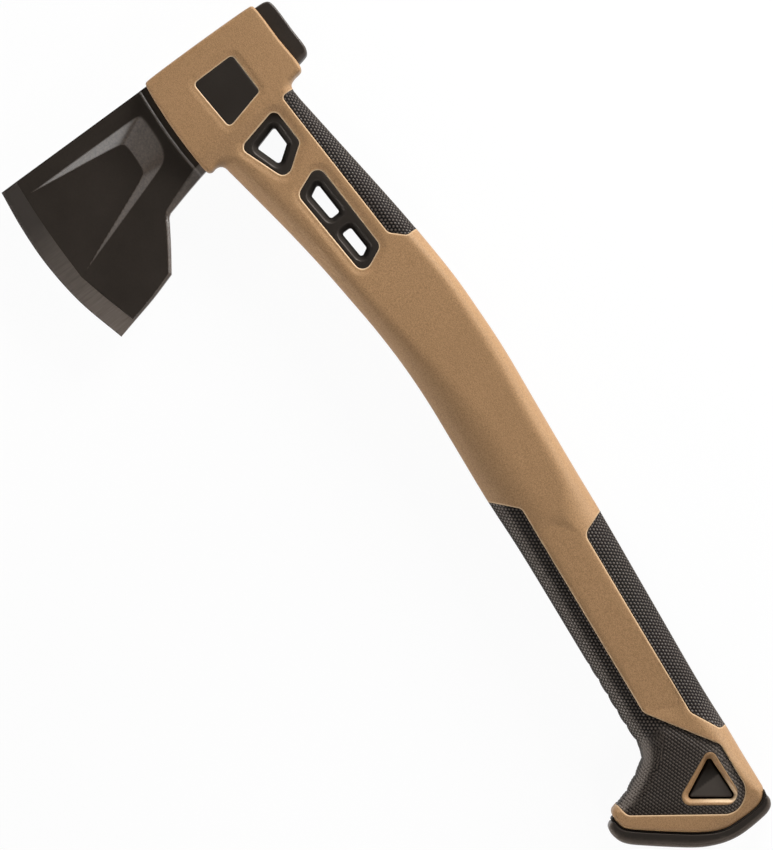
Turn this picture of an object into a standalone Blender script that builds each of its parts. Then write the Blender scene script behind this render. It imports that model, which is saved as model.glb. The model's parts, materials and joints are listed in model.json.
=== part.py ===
"""Camp hatchet: forged head, moulded nylon handle, rubber grips, lashing liners, and a butt plug and cap.

Metres, +Z up. The hatchet lies on its right side, so its left side faces up. +X runs from the head to the
butt and +Y from the cutting edge to the poll. Outlines are drawn round the point where the handle's axis
crosses the middle of the collar, on the tool's middle plane, and every piece is the same on both sides of it.
"""

import math

import bmesh
import bpy
from mathutils import Vector
from mathutils.geometry import delaunay_2d_cdt

MM = 0.001

# Fits and layers
GAP = 0.3 * MM
RUBBER = 2.5 * MM
HOLLOW_WALL = 4.0 * MM
COLLAR_WALL = 7.0 * MM

# Half thicknesses, from the middle plane to either side
COLLAR_HALF = 16.0 * MM
NECK_HALF = 12.8 * MM
SHAFT_HALF = 14.0 * MM
GRIP_HALF = 15.0 * MM
BUTT_HALF = 16.0 * MM
BUTT_END_HALF = 14.5 * MM
CAP_HALF = 15.5 * MM
EDGE_BAND_HALF = 3.0 * MM

# Lengths along the handle, from the middle of the collar
COLLAR_TOP = -25.0 * MM
COLLAR_HEEL = 12.2 * MM
COLLAR_BOTTOM = 30.0 * MM
COLLAR_FILLET = 5.5 * MM
COLLAR_STEP = 9.0 * MM
NECK_SIDE_LEAD = 4.0 * MM
NECK_LENGTH = 100.0 * MM
SHAFT_LENGTH = 93.0 * MM
GRIP_LENGTH = 132.0 * MM
BUTT_SWELL = 12.0 * MM
HOLLOW_START = 118.0 * MM
COLLAR_CORNER = COLLAR_BOTTOM - COLLAR_FILLET
NECK_SIDE_START = COLLAR_BOTTOM - NECK_SIDE_LEAD
SHAFT_START = COLLAR_BOTTOM + NECK_LENGTH
GRIP_START = SHAFT_START + SHAFT_LENGTH
BUTT_START = GRIP_START + GRIP_LENGTH

# Widths of the rounded shoulders between the handle's sides and its front and back
COLLAR_ROUND = 2.5 * MM
NECK_ROUND = 8.0 * MM
GRIP_ROUND = 20.5 * MM
BUTT_BACK_ROUND = 10.0 * MM
BUTT_ROUND = 4.0 * MM
LEAST_ROUND = 1.2 * MM
FLANK_DEPTH = 0.85 * MM
ROUND_STEPS = 3
SHOULDER_STEPS = 5
LEAN_REACH = 0.5 * MM
STEEPEST_LEAN = 2.5
WIDEST_SHOULDER = 0.49

# Head
BLADE_TOP = -23.5 * MM
BLADE_NECK = COLLAR_CORNER
BLADE_REACH = 114.7 * MM
POLL_REACH = 40.2 * MM
SHOULDER_BAND = 3.3 * MM
SHOULDER_RUN = 1.4 * MM
EDGE_HALF = 0.2 * MM
GRIND_HALF = 2.6 * MM
CHEEK_HALF = 8.6 * MM
SHOULDER_STEP = 1.6 * MM
PANEL_DEPTH = 3.0 * MM
NECK_CHAMFER = 3.0 * MM
BEARD_CHAMFER = 1.2 * MM
POLL_HALF = 12.5 * MM
POLL_CHAMFER = 1.0 * MM
KEY_RADIUS = 4.5 * MM
KEY_BITE = 2.0 * MM
KEY_SIDES = 16
WAIST_BITE = 2.0 * MM
WAIST_HALF = COLLAR_HALF - COLLAR_WALL

# Inserts
BADGE_THICKNESS = 2.0 * MM
BADGE_RECESS = 0.7 * MM
LINER_RECESS = 0.3 * MM
LINER_LIP = 1.6 * MM

# Butt plug and cap
RING_WIDTH = 2.7 * MM
LUG_GAP = 0.8 * MM
LUG_RECESS = 2.0 * MM
LUG_CREASE = 30.7 * MM
LUG_RAMP = 0.3
ARM_THICKNESS = 2.2 * MM
ARM_TIP = 20.0 * MM
ARM_FRONT = -20.0 * MM
ARM_BACK = -1.5 * MM
ARM_OUTER = BUTT_HALF - RUBBER - GAP - HOLLOW_WALL - GAP
LUG_TOP = BUTT_HALF - LUG_RECESS
MOUTH_START = 33.0 * MM
MOUTH_OVERLAP = 10.0 * MM
FLANGE = 1.5 * MM
FLANGE_TIP = 1.0 * MM
CAP_ROUND = 1.5 * MM

# A length that no piece reaches, for tools that cut right through
BEYOND = 80.0 * MM


def sized(points, start=0.0):
    """Points given in millimetres from start, in metres. A third number is a corner's radius."""
    return [(start + point[0] * MM, *(value * MM for value in point[1:])) for point in points]


def along(start, length, points):
    """Points given as a share of a stretch of the handle and a height in millimetres."""
    return [(start + share * length, height * MM) for share, height in points]


def eased(start, before, end, after):
    """A smooth step from one value to another, as table points."""
    points = []
    for step in range(ROUND_STEPS + 1):
        share = step / ROUND_STEPS
        rise = share * share * (3 - 2 * share)
        points.append((start + share * (end - start), before + rise * (after - before)))
    return points


# The butt's end, from its back corner round to the tip of its hook
BUTT_END = sized(
    [
        (48, 10.6),
        (50, 9.0),
        (53, 5.0),
        (53.5, 0.0),
        (53.5, -8.0),
        (53, -14.0),
        (51, -19.5),
        (48, -24.0),
        (45, -28.5),
        (27, -50.5),
        (25, -52.0),
        (21, -52.9),
        (17.5, -52.8),
    ],
    BUTT_START,
)
BACK_END_POINTS = 4
HANDLE_END = BUTT_END[BACK_END_POINTS][0]
FRONT_EDGE = [
    *sized([(0, -29.4), (13.5, -30.6), (25.5, -31), (37.5, -30.8)], BLADE_TOP),
    *sized([(0, -30), (1.2, -28), (1.5, -23.4), (3.5, -22)], COLLAR_CORNER),
    *along(COLLAR_BOTTOM, NECK_LENGTH, [(0, -21.6), (0.2, -18.5), (0.4, -15.5), (0.6, -13), (0.8, -11.2)]),
    *along(SHAFT_START, SHAFT_LENGTH, [(0, -9.7), (0.21, -9.2), (0.43, -9.9), (0.64, -11.6), (0.86, -13.5)]),
    *along(GRIP_START, GRIP_LENGTH, [(0, -14.5), (0.2, -16), (0.58, -20.2), (0.89, -23.7)]),
    *sized([(0.5, -25), (5, -27.8), (9, -34), (12, -40), (14, -45), (15.2, -49.2)], BUTT_START),
    *reversed(BUTT_END[BACK_END_POINTS:]),
]
BACK_EDGE = [
    *sized([(0, 31.9)], BLADE_TOP),
    *sized([(0, 33.1), (0.8, 28), (2, 25.4), (4.8, 24.4)], COLLAR_HEEL),
    *along(COLLAR_BOTTOM, NECK_LENGTH, [(0, 25.4), (0.3, 28.6), (0.5, 30.7), (0.7, 32.5)]),
    *along(SHAFT_START, SHAFT_LENGTH, [(0, 34.1), (0.21, 33.8), (0.43, 32.9), (0.75, 30)]),
    *along(GRIP_START, GRIP_LENGTH, [(0, 27.7), (0.26, 24.7), (0.58, 20.2), (0.96, 15)]),
    *sized([(15, 13.6), (45, 10.9)], BUTT_START),
    *BUTT_END[:BACK_END_POINTS],
]
HALF_THICKNESS = [
    (COLLAR_TOP, COLLAR_HALF),
    *eased(NECK_SIDE_START - COLLAR_STEP, COLLAR_HALF, NECK_SIDE_START, NECK_HALF),
    (SHAFT_START - 0.3 * NECK_LENGTH, NECK_HALF),
    (SHAFT_START + 0.2 * SHAFT_LENGTH, SHAFT_HALF),
    (GRIP_START - 0.2 * SHAFT_LENGTH, SHAFT_HALF),
    (GRIP_START + 0.2 * GRIP_LENGTH, GRIP_HALF),
    (BUTT_START, GRIP_HALF),
    (BUTT_START + BUTT_SWELL, BUTT_HALF),
    (BUTT_END[0][0], BUTT_HALF),
    (HANDLE_END, BUTT_END_HALF),
]
FRONT_ROUND = [
    (COLLAR_HEEL, COLLAR_ROUND),
    (COLLAR_BOTTOM, NECK_ROUND),
    (SHAFT_START, NECK_ROUND),
    (SHAFT_START + 0.43 * SHAFT_LENGTH, 0.78 * GRIP_ROUND),
    (GRIP_START, GRIP_ROUND),
    (GRIP_START + 0.58 * GRIP_LENGTH, 0.98 * GRIP_ROUND),
    (GRIP_START + 0.89 * GRIP_LENGTH, 0.88 * GRIP_ROUND),
    (BUTT_START, 0.58 * GRIP_ROUND),
    (BUTT_END[-1][0], BUTT_ROUND),
    (BUTT_END[0][0], BUTT_ROUND),
    (HANDLE_END, COLLAR_ROUND),
]
BACK_ROUND = [
    (COLLAR_HEEL, COLLAR_ROUND),
    (COLLAR_BOTTOM, NECK_ROUND),
    (SHAFT_START, 0.75 * NECK_ROUND),
    (SHAFT_START + 0.43 * SHAFT_LENGTH, 0.88 * NECK_ROUND),
    (SHAFT_START + 0.75 * SHAFT_LENGTH, NECK_ROUND),
    (GRIP_START + 0.09 * GRIP_LENGTH, 1.2 * NECK_ROUND),
    (GRIP_START + 0.26 * GRIP_LENGTH, GRIP_ROUND),
    (GRIP_START + 0.58 * GRIP_LENGTH, 0.98 * GRIP_ROUND),
    (GRIP_START + 0.96 * GRIP_LENGTH, 0.7 * GRIP_ROUND),
    (BUTT_START + BUTT_SWELL, BUTT_BACK_ROUND),
    (BUTT_END[0][0], BUTT_ROUND),
    (HANDLE_END, COLLAR_ROUND),
]

# How deep the flat flank between the grips cuts into the oval section
FLANK_CUT = [
    (GRIP_START + 0.12 * GRIP_LENGTH, 0.0),
    (GRIP_START + 0.2 * GRIP_LENGTH, FLANK_DEPTH),
    (GRIP_START + 0.96 * GRIP_LENGTH, FLANK_DEPTH),
    (BUTT_START, 0.0),
]

# Corners of the rubber and the inserts as x, y and radius. The rubber's run past the handle's own edges.
FRONT_GRIP = [
    *sized([(-10, -23.6, 0), (11.5, -4.0, 4)], GRIP_START),
    *sized([(-12, -13.8, 6), (20.3, 6.2, 4), (44.4, 4.2, 4), (51, -6, 3)], BUTT_START),
    *sized([(22.5, -47.5, 4), (0, -50.5, 0), (-20, -90, 0)], BUTT_START),
    *sized([(-10, -90, 0)], GRIP_START),
]
REAR_GRIP = [
    *sized([(29, 60, 0), (33.4, 25.6, 0), (38, 12.7, 4)], GRIP_START),
    *sized([(0.5, 3.9, 4), (14.6, 10.6, 2), (15.4, 60, 0)], BUTT_START),
]
NECK_PAD = sized([(4.8, 60, 0), (4.8, 18.1, 2), (83.8, 21, 4), (89.8, 27.4, 2), (89.6, 60, 0)], COLLAR_HEEL)
BADGE = sized([(-11.8, 10.9, 2), (8.9, 11.4, 2), (14.2, -9.4, 2), (-11.4, -11.1, 2)])
UPPER_LINER = sized([(19.4, 12.1, 3), (38.4, 12.7, 3), (49.3, -2.1, 4), (25, -11.1, 3)])
UPPER_SLOTS = [sized([(25.7, 7.3, 1.2), (35.6, 7.4, 1.2), (41.6, -0.8, 1.5), (29.2, -4.9, 1.2)])]
LOWER_LINER = sized([(51.2, 13.2, 4), (98.8, 14.6, 4), (105.4, 0.5, 4), (57.8, -2.4, 4)])
LOWER_SLOTS = [
    sized([(58.6, 8.1, 1), (75.2, 8.7, 1), (75.4, 3.5, 1), (61.6, 2.4, 1)]),
    sized([(83.8, 8.6, 1), (95.7, 9.1, 1), (98.3, 4.5, 1), (83.8, 3.6, 1)]),
]
RING = sized([(18, 2, 3.1), (50.1, -0.1, 5.5), (30.9, -27, 4)], BUTT_START)

# The cap's walking face, from its back end to its front end
CAP_FACE = sized(
    [
        (52.5, 10.2),
        (54.5, 10.0),
        (57, 8.5),
        (58.5, 5.5),
        (59.3, 0.0),
        (59.7, -7.0),
        (59.5, -12.0),
        (58.3, -18.0),
        (55.5, -25.0),
        (52, -31.0),
        (37, -50.0),
        (33, -54.5),
        (30, -56.8),
        (26.5, -58.0),
        (23, -58.2),
        (21, -57.2),
        (20, -55.5),
    ],
    BUTT_START,
)

# Blade, waist and poll
TOE = (BLADE_TOP, 2.7 * MM - BLADE_REACH)
EDGE_MIDDLE = (15.0 * MM, -BLADE_REACH)
HEEL = (62.5 * MM, 8.4 * MM - BLADE_REACH)
GRIND_TOE = (BLADE_TOP, 11.3 * MM - BLADE_REACH)
GRIND_MIDDLE = (29.5 * MM, 9.8 * MM - BLADE_REACH)
GRIND_HEEL = (60.0 * MM, 17.7 * MM - BLADE_REACH)
BEARD = [*sized([(53, -71), (30, -55.3)]), *sized([(0.7, -36)], BLADE_NECK)]
BEARD_INNER = [*sized([(51.6, -71.9), (28.4, -56.5)]), *sized([(-5, -36)], BLADE_NECK)]
CHEEK_TOP = FRONT_EDGE[0][1] - GAP - SHOULDER_BAND - SHOULDER_RUN
PANEL_LEFT = -15.5 * MM
PANEL_RIGHT = 30.0 * MM
PANEL_RIM = sized([(-15.2, -45), (-13.6, -40.6), (-10, -38.6), (5, -38.6), (8.6, -40.4), (10.4, -44)])
PANEL_FLOOR = sized([(-10, -53.2), (8, -53.2)])
EDGE_STEPS = 12
WAIST_AT_BLADE = (-17.0 * MM, 16.0 * MM)
WAIST_AT_POLL = (5.0 * MM, -17.0 * MM)
KEYS = [(-4.0 * MM, -20.0 * MM), (-5.0 * MM, 22.0 * MM)]
POLL = [(-23.2 * MM, POLL_REACH, 3.4 * MM), (9.3 * MM, POLL_REACH, 3.6 * MM)]
POLL_FOOT = (9.6 * MM, -23.3 * MM)


def read(table, x):
    """The table's value at x, on straight lines between its points."""
    if x <= table[0][0]:
        return table[0][1]
    for (before, low), (after, high) in zip(table, table[1:]):
        if x <= after:
            return low + (high - low) * (x - before) / (after - before)
    return table[-1][1]


def lean(table, x):
    """How much longer a step across the handle is than a step square to a leaning edge."""
    slope = (read(table, x + LEAN_REACH) - read(table, x - LEAN_REACH)) / (2 * LEAN_REACH)
    return min(math.hypot(1, slope), STEEPEST_LEAN)


def swung(first, last, share):
    """A share of the way round from one spoke of a circle to another."""
    angle = share * math.atan2(first.cross(last), first.dot(last))
    cosine, sine = math.cos(angle), math.sin(angle)
    return Vector((first.x * cosine - first.y * sine, first.x * sine + first.y * cosine))


def rounded(corners, steps=ROUND_STEPS):
    """The outline through corners given as x, y and radius, with an arc at each."""
    outline = []
    for index, (x, y, radius) in enumerate(corners):
        corner = Vector((x, y))
        back = (Vector(corners[index - 1][:2]) - corner).normalized()
        ahead = (Vector(corners[(index + 1) % len(corners)][:2]) - corner).normalized()
        if radius <= 0:
            outline.append(corner)
            continue
        opening = back.angle(ahead)
        centre = corner + (back + ahead).normalized() * radius / math.sin(opening / 2)
        first = corner + back * radius / math.tan(opening / 2) - centre
        last = corner + ahead * radius / math.tan(opening / 2) - centre
        outline += [centre + swung(first, last, step / steps) for step in range(steps + 1)]
    return outline


def area(outline):
    """Positive for an outline that runs counter-clockwise."""
    return sum(a[0] * b[1] - b[0] * a[1] for a, b in zip(outline, [*outline[1:], outline[0]])) / 2


def moved_out(corners, distance):
    """The same rounded outline, larger by distance on every side, or smaller where distance is negative."""
    turn = math.copysign(1, area(corners))
    moved = []
    for index, (x, y, radius) in enumerate(corners):
        corner = Vector((x, y))
        arrive = (corner - Vector(corners[index - 1][:2])).normalized()
        leave = (Vector(corners[(index + 1) % len(corners)][:2]) - corner).normalized()
        outward = [turn * Vector((way.y, -way.x)) for way in (arrive, leave)]
        point = corner + distance * (outward[0] + outward[1]) / (1 + outward[0].dot(outward[1]))
        bend = math.copysign(1, turn * arrive.cross(leave))
        moved.append((point.x, point.y, max(radius + bend * distance, 0) if radius else 0))
    return moved


def beside(line, distance):
    """An open line moved to its left by distance."""
    points = [Vector(point) for point in line]
    moved = []
    for index, point in enumerate(points):
        arrive = (point - points[index - 1]).normalized() if index else None
        leave = (points[index + 1] - point).normalized() if index + 1 < len(points) else arrive
        arrive = arrive or leave
        sides = [Vector((-way.y, way.x)) for way in (arrive, leave)]
        moved.append(point + distance * (sides[0] + sides[1]) / (1 + sides[0].dot(sides[1])))
    return moved


def arc(start, middle, end, steps):
    """Points on the circle through three points, from start to end."""
    a, b, c = (Vector(point) for point in (start, middle, end))
    turn = 2 * (b - a).cross(c - a)
    square_b, square_c = (b - a).length_squared, (c - a).length_squared
    centre = a + Vector(
        (
            ((c - a).y * square_b - (b - a).y * square_c) / turn,
            ((b - a).x * square_c - (c - a).x * square_b) / turn,
        )
    )
    return [centre + swung(a - centre, c - centre, step / steps) for step in range(steps + 1)]


def made(name, shape):
    """An object of a closed mesh, with its faces turned out."""
    bmesh.ops.recalc_face_normals(shape, faces=shape.faces)
    mesh = bpy.data.meshes.new(name)
    shape.to_mesh(mesh)
    shape.free()
    piece = bpy.data.objects.new(name, mesh)
    bpy.context.scene.collection.objects.link(piece)
    return piece


def stacked(name, rings):
    """A closed solid through rings of points, each with as many points as the one before."""
    shape = bmesh.new()
    loops = [[shape.verts.new(point) for point in ring] for ring in rings]
    for low, high in zip(loops, loops[1:]):
        for index in range(len(low)):
            after = (index + 1) % len(low)
            shape.faces.new((low[index], low[after], high[after], high[index]))
    shape.faces.new(loops[0])
    shape.faces.new(loops[-1])
    return made(name, shape)


def level(outline, height):
    return [(point[0], point[1], height) for point in outline]


def prism(name, outline, low, high):
    return stacked(name, [level(outline, low), level(outline, high)])


def through(name, outline):
    return prism(name, outline, -BEYOND, BEYOND)


def combine(piece, tool, operation):
    """Joins, cuts or trims a piece with a tool, which is used up."""
    modifier = piece.modifiers.new(operation, "BOOLEAN")
    modifier.operation = operation
    modifier.object = tool
    graph = bpy.context.evaluated_depsgraph_get()
    result = bpy.data.meshes.new_from_object(piece.evaluated_get(graph))
    piece.modifiers.clear()
    piece.data = result
    bpy.data.objects.remove(tool)


def cut(piece, *tools):
    for tool in tools:
        combine(piece, tool, "DIFFERENCE")


def join(piece, *tools):
    for tool in tools:
        combine(piece, tool, "UNION")


def handle_ring(x, inset):
    """The handle's cross-section at x, a distance inside its surface: flat sides and oval shoulders."""
    front = read(FRONT_EDGE, x) + inset * lean(FRONT_EDGE, x)
    back = read(BACK_EDGE, x) - inset * lean(BACK_EDGE, x)
    rise = read(HALF_THICKNESS, x) - inset - EDGE_BAND_HALF
    widest = WIDEST_SHOULDER * (back - front)
    front_round = max(read(FRONT_ROUND, x) - inset, LEAST_ROUND)
    back_round = max(read(BACK_ROUND, x) - inset, LEAST_ROUND)
    front_shoulder = min(front_round * lean(FRONT_EDGE, x), widest)
    back_shoulder = min(back_round * lean(BACK_EDGE, x), widest)
    flat_side = math.asin(1 - read(FLANK_CUT, x) / rise)
    front_side = []
    back_side = []
    for step in range(SHOULDER_STEPS + 1):
        angle = flat_side * step / SHOULDER_STEPS
        height = EDGE_BAND_HALF + rise * math.sin(angle)
        front_side.append((front + front_shoulder * (1 - math.cos(angle)), height))
        back_side.append((back - back_shoulder * (1 - math.cos(angle)), height))
    upper = [*front_side, *reversed(back_side)]
    return [(x, y, z) for y, z in upper] + [(x, y, -z) for y, z in reversed(upper)]


def stations(start, end):
    """Every place between start and end where one of the handle's tables has a point, with both ends."""
    tables = (FRONT_EDGE, BACK_EDGE, HALF_THICKNESS, FRONT_ROUND, BACK_ROUND, FLANK_CUT)
    return [start, *sorted({x for table in tables for x, _ in table if start < x < end}), end]


def handle_loft(name, inset, start, end):
    """The handle's shape between two places along it, a distance inside its surface."""
    return stacked(name, [handle_ring(x, inset) for x in stations(start, end)])


def whole_handle(name):
    """The handle's outer shape with the rubber filled in, and a rounded edge on top of the collar."""
    start = COLLAR_TOP + COLLAR_ROUND
    rings = []
    for step in range(ROUND_STEPS):
        angle = math.pi / 2 * step / ROUND_STEPS
        inset = COLLAR_ROUND * (1 - math.sin(angle))
        rings.append(handle_ring(start - COLLAR_ROUND * math.cos(angle), inset))
    rings += [handle_ring(x, 0) for x in stations(start, HANDLE_END)]
    return stacked(name, rings)


def wrapped_rubber(name, corners):
    """Rubber inside an outline on both sides of the handle, wrapped round its edge and as thick as RUBBER."""
    piece = whole_handle(name)
    combine(piece, through("trim", rounded(moved_out(corners, -GAP))), "INTERSECT")
    cut(piece, handle_loft("core", RUBBER, NECK_PAD[0][0] + RUBBER, HANDLE_END - RUBBER))
    return piece


def make_handle_body():
    """Nylon body: the outer shape less the rubber's beds, cored out, and moulded round the head's waist."""
    body = whole_handle("handle_body")
    front_bed = through("front_bed", rounded(FRONT_GRIP))
    cut(front_bed, through("ring", rounded(RING)))
    cut(body, front_bed, through("rear_bed", rounded(REAR_GRIP)), through("neck_bed", rounded(NECK_PAD)))
    bed = RUBBER + GAP
    join(body, handle_loft("core", bed, NECK_PAD[0][0] + bed, HANDLE_END - bed))
    mouth_start = BUTT_START + MOUTH_START
    cut(body, handle_loft("hollow", bed + HOLLOW_WALL, HOLLOW_START, mouth_start + MOUTH_OVERLAP))
    mouth = (mouth_start, ARM_FRONT - GAP, BUTT_START + BEYOND, ARM_BACK + GAP)
    cut(body, prism("mouth", box_outline(*mouth), -ARM_OUTER - GAP, ARM_OUTER + GAP))
    cut(body, through("windows", rounded(moved_out(RING, -RING_WIDTH))))
    cut(body, prism("waist_bed", waist_outline(GAP), -WAIST_HALF - GAP, WAIST_HALF + GAP))
    for x, y in KEYS:
        join(body, key_post("post", x, y, KEY_RADIUS - GAP, WAIST_HALF + KEY_BITE))
    for side in (-1, 1):
        floor = COLLAR_HALF - BADGE_RECESS - BADGE_THICKNESS - GAP
        cut(body, prism("badge_bed", rounded(moved_out(BADGE, GAP)), *sorted((side * floor, side * BEYOND))))
    cut(body, through("upper_bed", rounded(moved_out(UPPER_LINER, GAP))))
    cut(body, through("lower_bed", rounded(moved_out(LOWER_LINER, GAP))))
    return body


def box_outline(x_low, y_low, x_high, y_high):
    return [(x_low, y_low), (x_high, y_low), (x_high, y_high), (x_low, y_high)]


def waist_outline(growth):
    """The part of the head inside the collar, from within the blade's shoulder to within the poll."""
    low = read(FRONT_EDGE, 0) - WAIST_BITE
    high = read(BACK_EDGE, 0) + WAIST_BITE
    corners = [*((x, low, 0) for x in WAIST_AT_BLADE), *((x, high, 0) for x in WAIST_AT_POLL)]
    return [corner[:2] for corner in moved_out(corners, growth)]


def key_post(name, x, y, radius, half):
    turns = [2 * math.pi * step / KEY_SIDES for step in range(KEY_SIDES)]
    outline = [(x + radius * math.cos(turn), y + radius * math.sin(turn)) for turn in turns]
    return prism(name, outline, -half, half)


def cheek_height(y):
    """Half thickness of the blade's flat cheek, a wedge from the shoulder to the ground edge."""
    share = (y - GRIND_MIDDLE[1]) / (CHEEK_TOP - GRIND_MIDDLE[1])
    return GRIND_HALF + (CHEEK_HALF - GRIND_HALF) * share


def on_cheek(line, drop=0.0):
    return [(x, y, cheek_height(y) - drop) for x, y in line]


def make_blade():
    """The blade's facets as one net of creases, raised to its height on both sides of the middle plane."""
    edge = [(x, y, EDGE_HALF) for x, y in arc(TOE, EDGE_MIDDLE, HEEL, EDGE_STEPS)]
    grind = on_cheek(arc(GRIND_TOE, GRIND_MIDDLE, GRIND_HEEL, EDGE_STEPS))
    grind_line = [point[:2] for point in grind]
    rim_left = on_cheek([(PANEL_LEFT, read(grind_line, PANEL_LEFT))])
    rim_right = on_cheek([(PANEL_RIGHT, read(grind_line, PANEL_RIGHT))])
    shoulder_half = CHEEK_HALF + SHOULDER_STEP
    top = [(x, y - GAP) for x, y in reversed(FRONT_EDGE) if x <= BLADE_NECK]
    shoulder = [(x, y - SHOULDER_BAND, shoulder_half) for x, y in top]
    step = on_cheek([(x, y - SHOULDER_BAND - SHOULDER_RUN) for x, y in top])
    neck_x = BEARD_INNER[-1][0]
    shoulder[0] = (neck_x, shoulder[0][1], shoulder_half)
    step[0] = (neck_x, step[0][1], step[0][2])
    inner = [grind[-1], *on_cheek(BEARD_INNER), step[0], shoulder[0]]
    drops = (BEARD_CHAMFER, BEARD_CHAMFER, NECK_CHAMFER)
    outer = [(x, y, cheek_height(y) - drop) for (x, y), drop in zip(BEARD, drops)]
    corner = (BLADE_NECK, top[0][1], shoulder_half - NECK_CHAMFER)
    top_line = [(neck_x, read(FRONT_EDGE, neck_x) - GAP, shoulder_half)]
    top_line += [(x, y, shoulder_half) for x, y in top[1:]]
    heel = (GRIND_HEEL[0] + BEARD_CHAMFER, GRIND_HEEL[1], grind[-1][2] - BEARD_CHAMFER)
    outline = [*edge, heel, *outer, corner, *top_line, shoulder[-1], step[-1], grind[0]]
    panel_rim = [rim_left[0], *on_cheek(PANEL_RIM), rim_right[0]]
    panel_floor = [rim_left[0], *on_cheek(PANEL_FLOOR, PANEL_DEPTH), rim_right[0]]
    grind = [*grind, heel]
    grind = sorted({*grind, rim_left[0], rim_right[0]})
    creases = [grind, inner + [top_line[0]], shoulder, step, panel_rim, panel_floor]
    return relief("blade", outline, creases)


def relief(name, outline, creases):
    """A solid whose upper side is folded along creases of known height, and whose lower side mirrors it."""
    points = []
    edges = []
    for line, closed in [(outline, True), *((crease, False) for crease in creases)]:
        first = len(points)
        points += line
        count = len(line)
        edges += [(first + index, first + (index + 1) % count) for index in range(count - (not closed))]
    flat = [Vector(point[:2]) for point in points]
    corners, _, faces, sources, _, _ = delaunay_2d_cdt(flat, edges, [], 1, MM / 1000)
    shape = bmesh.new()
    heights = [points[source[0]][2] for source in sources]
    upper = [shape.verts.new((corner.x, corner.y, height)) for corner, height in zip(corners, heights)]
    lower = [shape.verts.new((corner.x, corner.y, -height)) for corner, height in zip(corners, heights)]
    for face in faces:
        shape.faces.new([upper[index] for index in face])
        shape.faces.new([lower[index] for index in reversed(face)])
    rim = [edge for edge in shape.edges if edge.is_boundary and edge.verts[0].co.z > 0]
    twin = dict(zip(upper, lower))
    for edge in rim:
        start, end = edge.verts
        shape.faces.new((start, end, twin[end], twin[start]))
    return made(name, shape)


def make_axe_head():
    """One forging: blade, waist through the collar with two cross holes, and poll."""
    head = make_blade()
    head.name = "axe_head"
    join(head, prism("waist", waist_outline(0), -WAIST_HALF, WAIST_HALF))
    lower = [(x, read(BACK_EDGE, x) + GAP, 0) for x in POLL_FOOT]
    corners = [*POLL, *lower]
    flat, rim = rounded(moved_out(corners, -POLL_CHAMFER)), rounded(corners)
    heights = (POLL_HALF, POLL_HALF - POLL_CHAMFER)
    lower_half = [level(flat, -heights[0]), level(rim, -heights[1])]
    upper_half = [level(rim, heights[1]), level(flat, heights[0])]
    join(head, stacked("poll", [*lower_half, *upper_half]))
    for x, y in KEYS:
        cut(head, key_post("key", x, y, KEY_RADIUS, BEYOND))
    return head


def make_badge(name, side):
    outer = side * (COLLAR_HALF - BADGE_RECESS)
    inner = side * (COLLAR_HALF - BADGE_RECESS - BADGE_THICKNESS)
    return prism(name, rounded(BADGE), *sorted((inner, outer)))


def make_liner(name, corners, slots):
    """A sleeve through the neck, with each slot's mouth opened out by a sloping lip on both sides."""
    face = NECK_HALF - LINER_RECESS
    liner = prism(name, rounded(corners), -face, face)
    for slot in slots:
        inner, mouth = rounded(slot), rounded(moved_out(slot, 2 * LINER_LIP))
        cut(liner, through("slot", inner))
        for side in (-1, 1):
            rings = [level(inner, side * (face - LINER_LIP)), level(mouth, side * (face + LINER_LIP))]
            cut(liner, stacked("mouth", rings))
    return liner


def make_butt_plug():
    """Flange over the handle's open end, with two arms inside whose snap lugs stand in the windows."""
    last = BUTT_END[-1]
    back_tip = (BUTT_END[0][0] + FLANGE_TIP, (BUTT_END[0][1] + BUTT_END[1][1]) / 2)
    front_tip = (last[0] + FLANGE, last[1])
    line = [back_tip, *BUTT_END[1:-1], front_tip]
    band = [*beside(line, GAP), *reversed(beside(line, GAP + FLANGE))]
    plug = prism("butt_plug", band, -CAP_HALF, CAP_HALF)
    end_by_height = sorted((y, x) for x, y in BUTT_END)
    heights = [ARM_FRONT, *(y for y, _ in end_by_height if ARM_FRONT < y < ARM_BACK), ARM_BACK]
    root = [(read(end_by_height, y) + GAP + FLANGE / 2, y) for y in heights]
    arm = [(BUTT_START + ARM_TIP, ARM_FRONT), *root, (BUTT_START + ARM_TIP, ARM_BACK)]
    crease = BUTT_START + LUG_CREASE
    window = moved_out(RING, -RING_WIDTH)
    for side in (-1, 1):
        join(plug, prism("arm", arm, *sorted((side * ARM_OUTER, side * (ARM_OUTER - ARM_THICKNESS)))))
        span = sorted((side * (ARM_OUTER - GAP), side * LUG_TOP))
        lug = prism("lug", rounded(moved_out(window, -LUG_GAP)), *span)
        ramp(lug, crease, side)
        join(plug, lug)
    return plug


def ramp(lug, crease, side):
    """Slopes a lug's outer face down towards the head from a crease, so that it can be pushed in."""
    shape = bmesh.new()
    shape.from_mesh(lug.data)
    geometry = [*shape.verts, *shape.edges, *shape.faces]
    bmesh.ops.bisect_plane(shape, geom=geometry, plane_co=(crease, 0, 0), plane_no=(1, 0, 0))
    middle = (ARM_OUTER + LUG_TOP) / 2
    for vertex in shape.verts:
        if vertex.co.z * side > middle and vertex.co.x < crease:
            vertex.co.z -= side * LUG_RAMP * (crease - vertex.co.x)
    shape.to_mesh(lug.data)
    shape.free()


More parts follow.
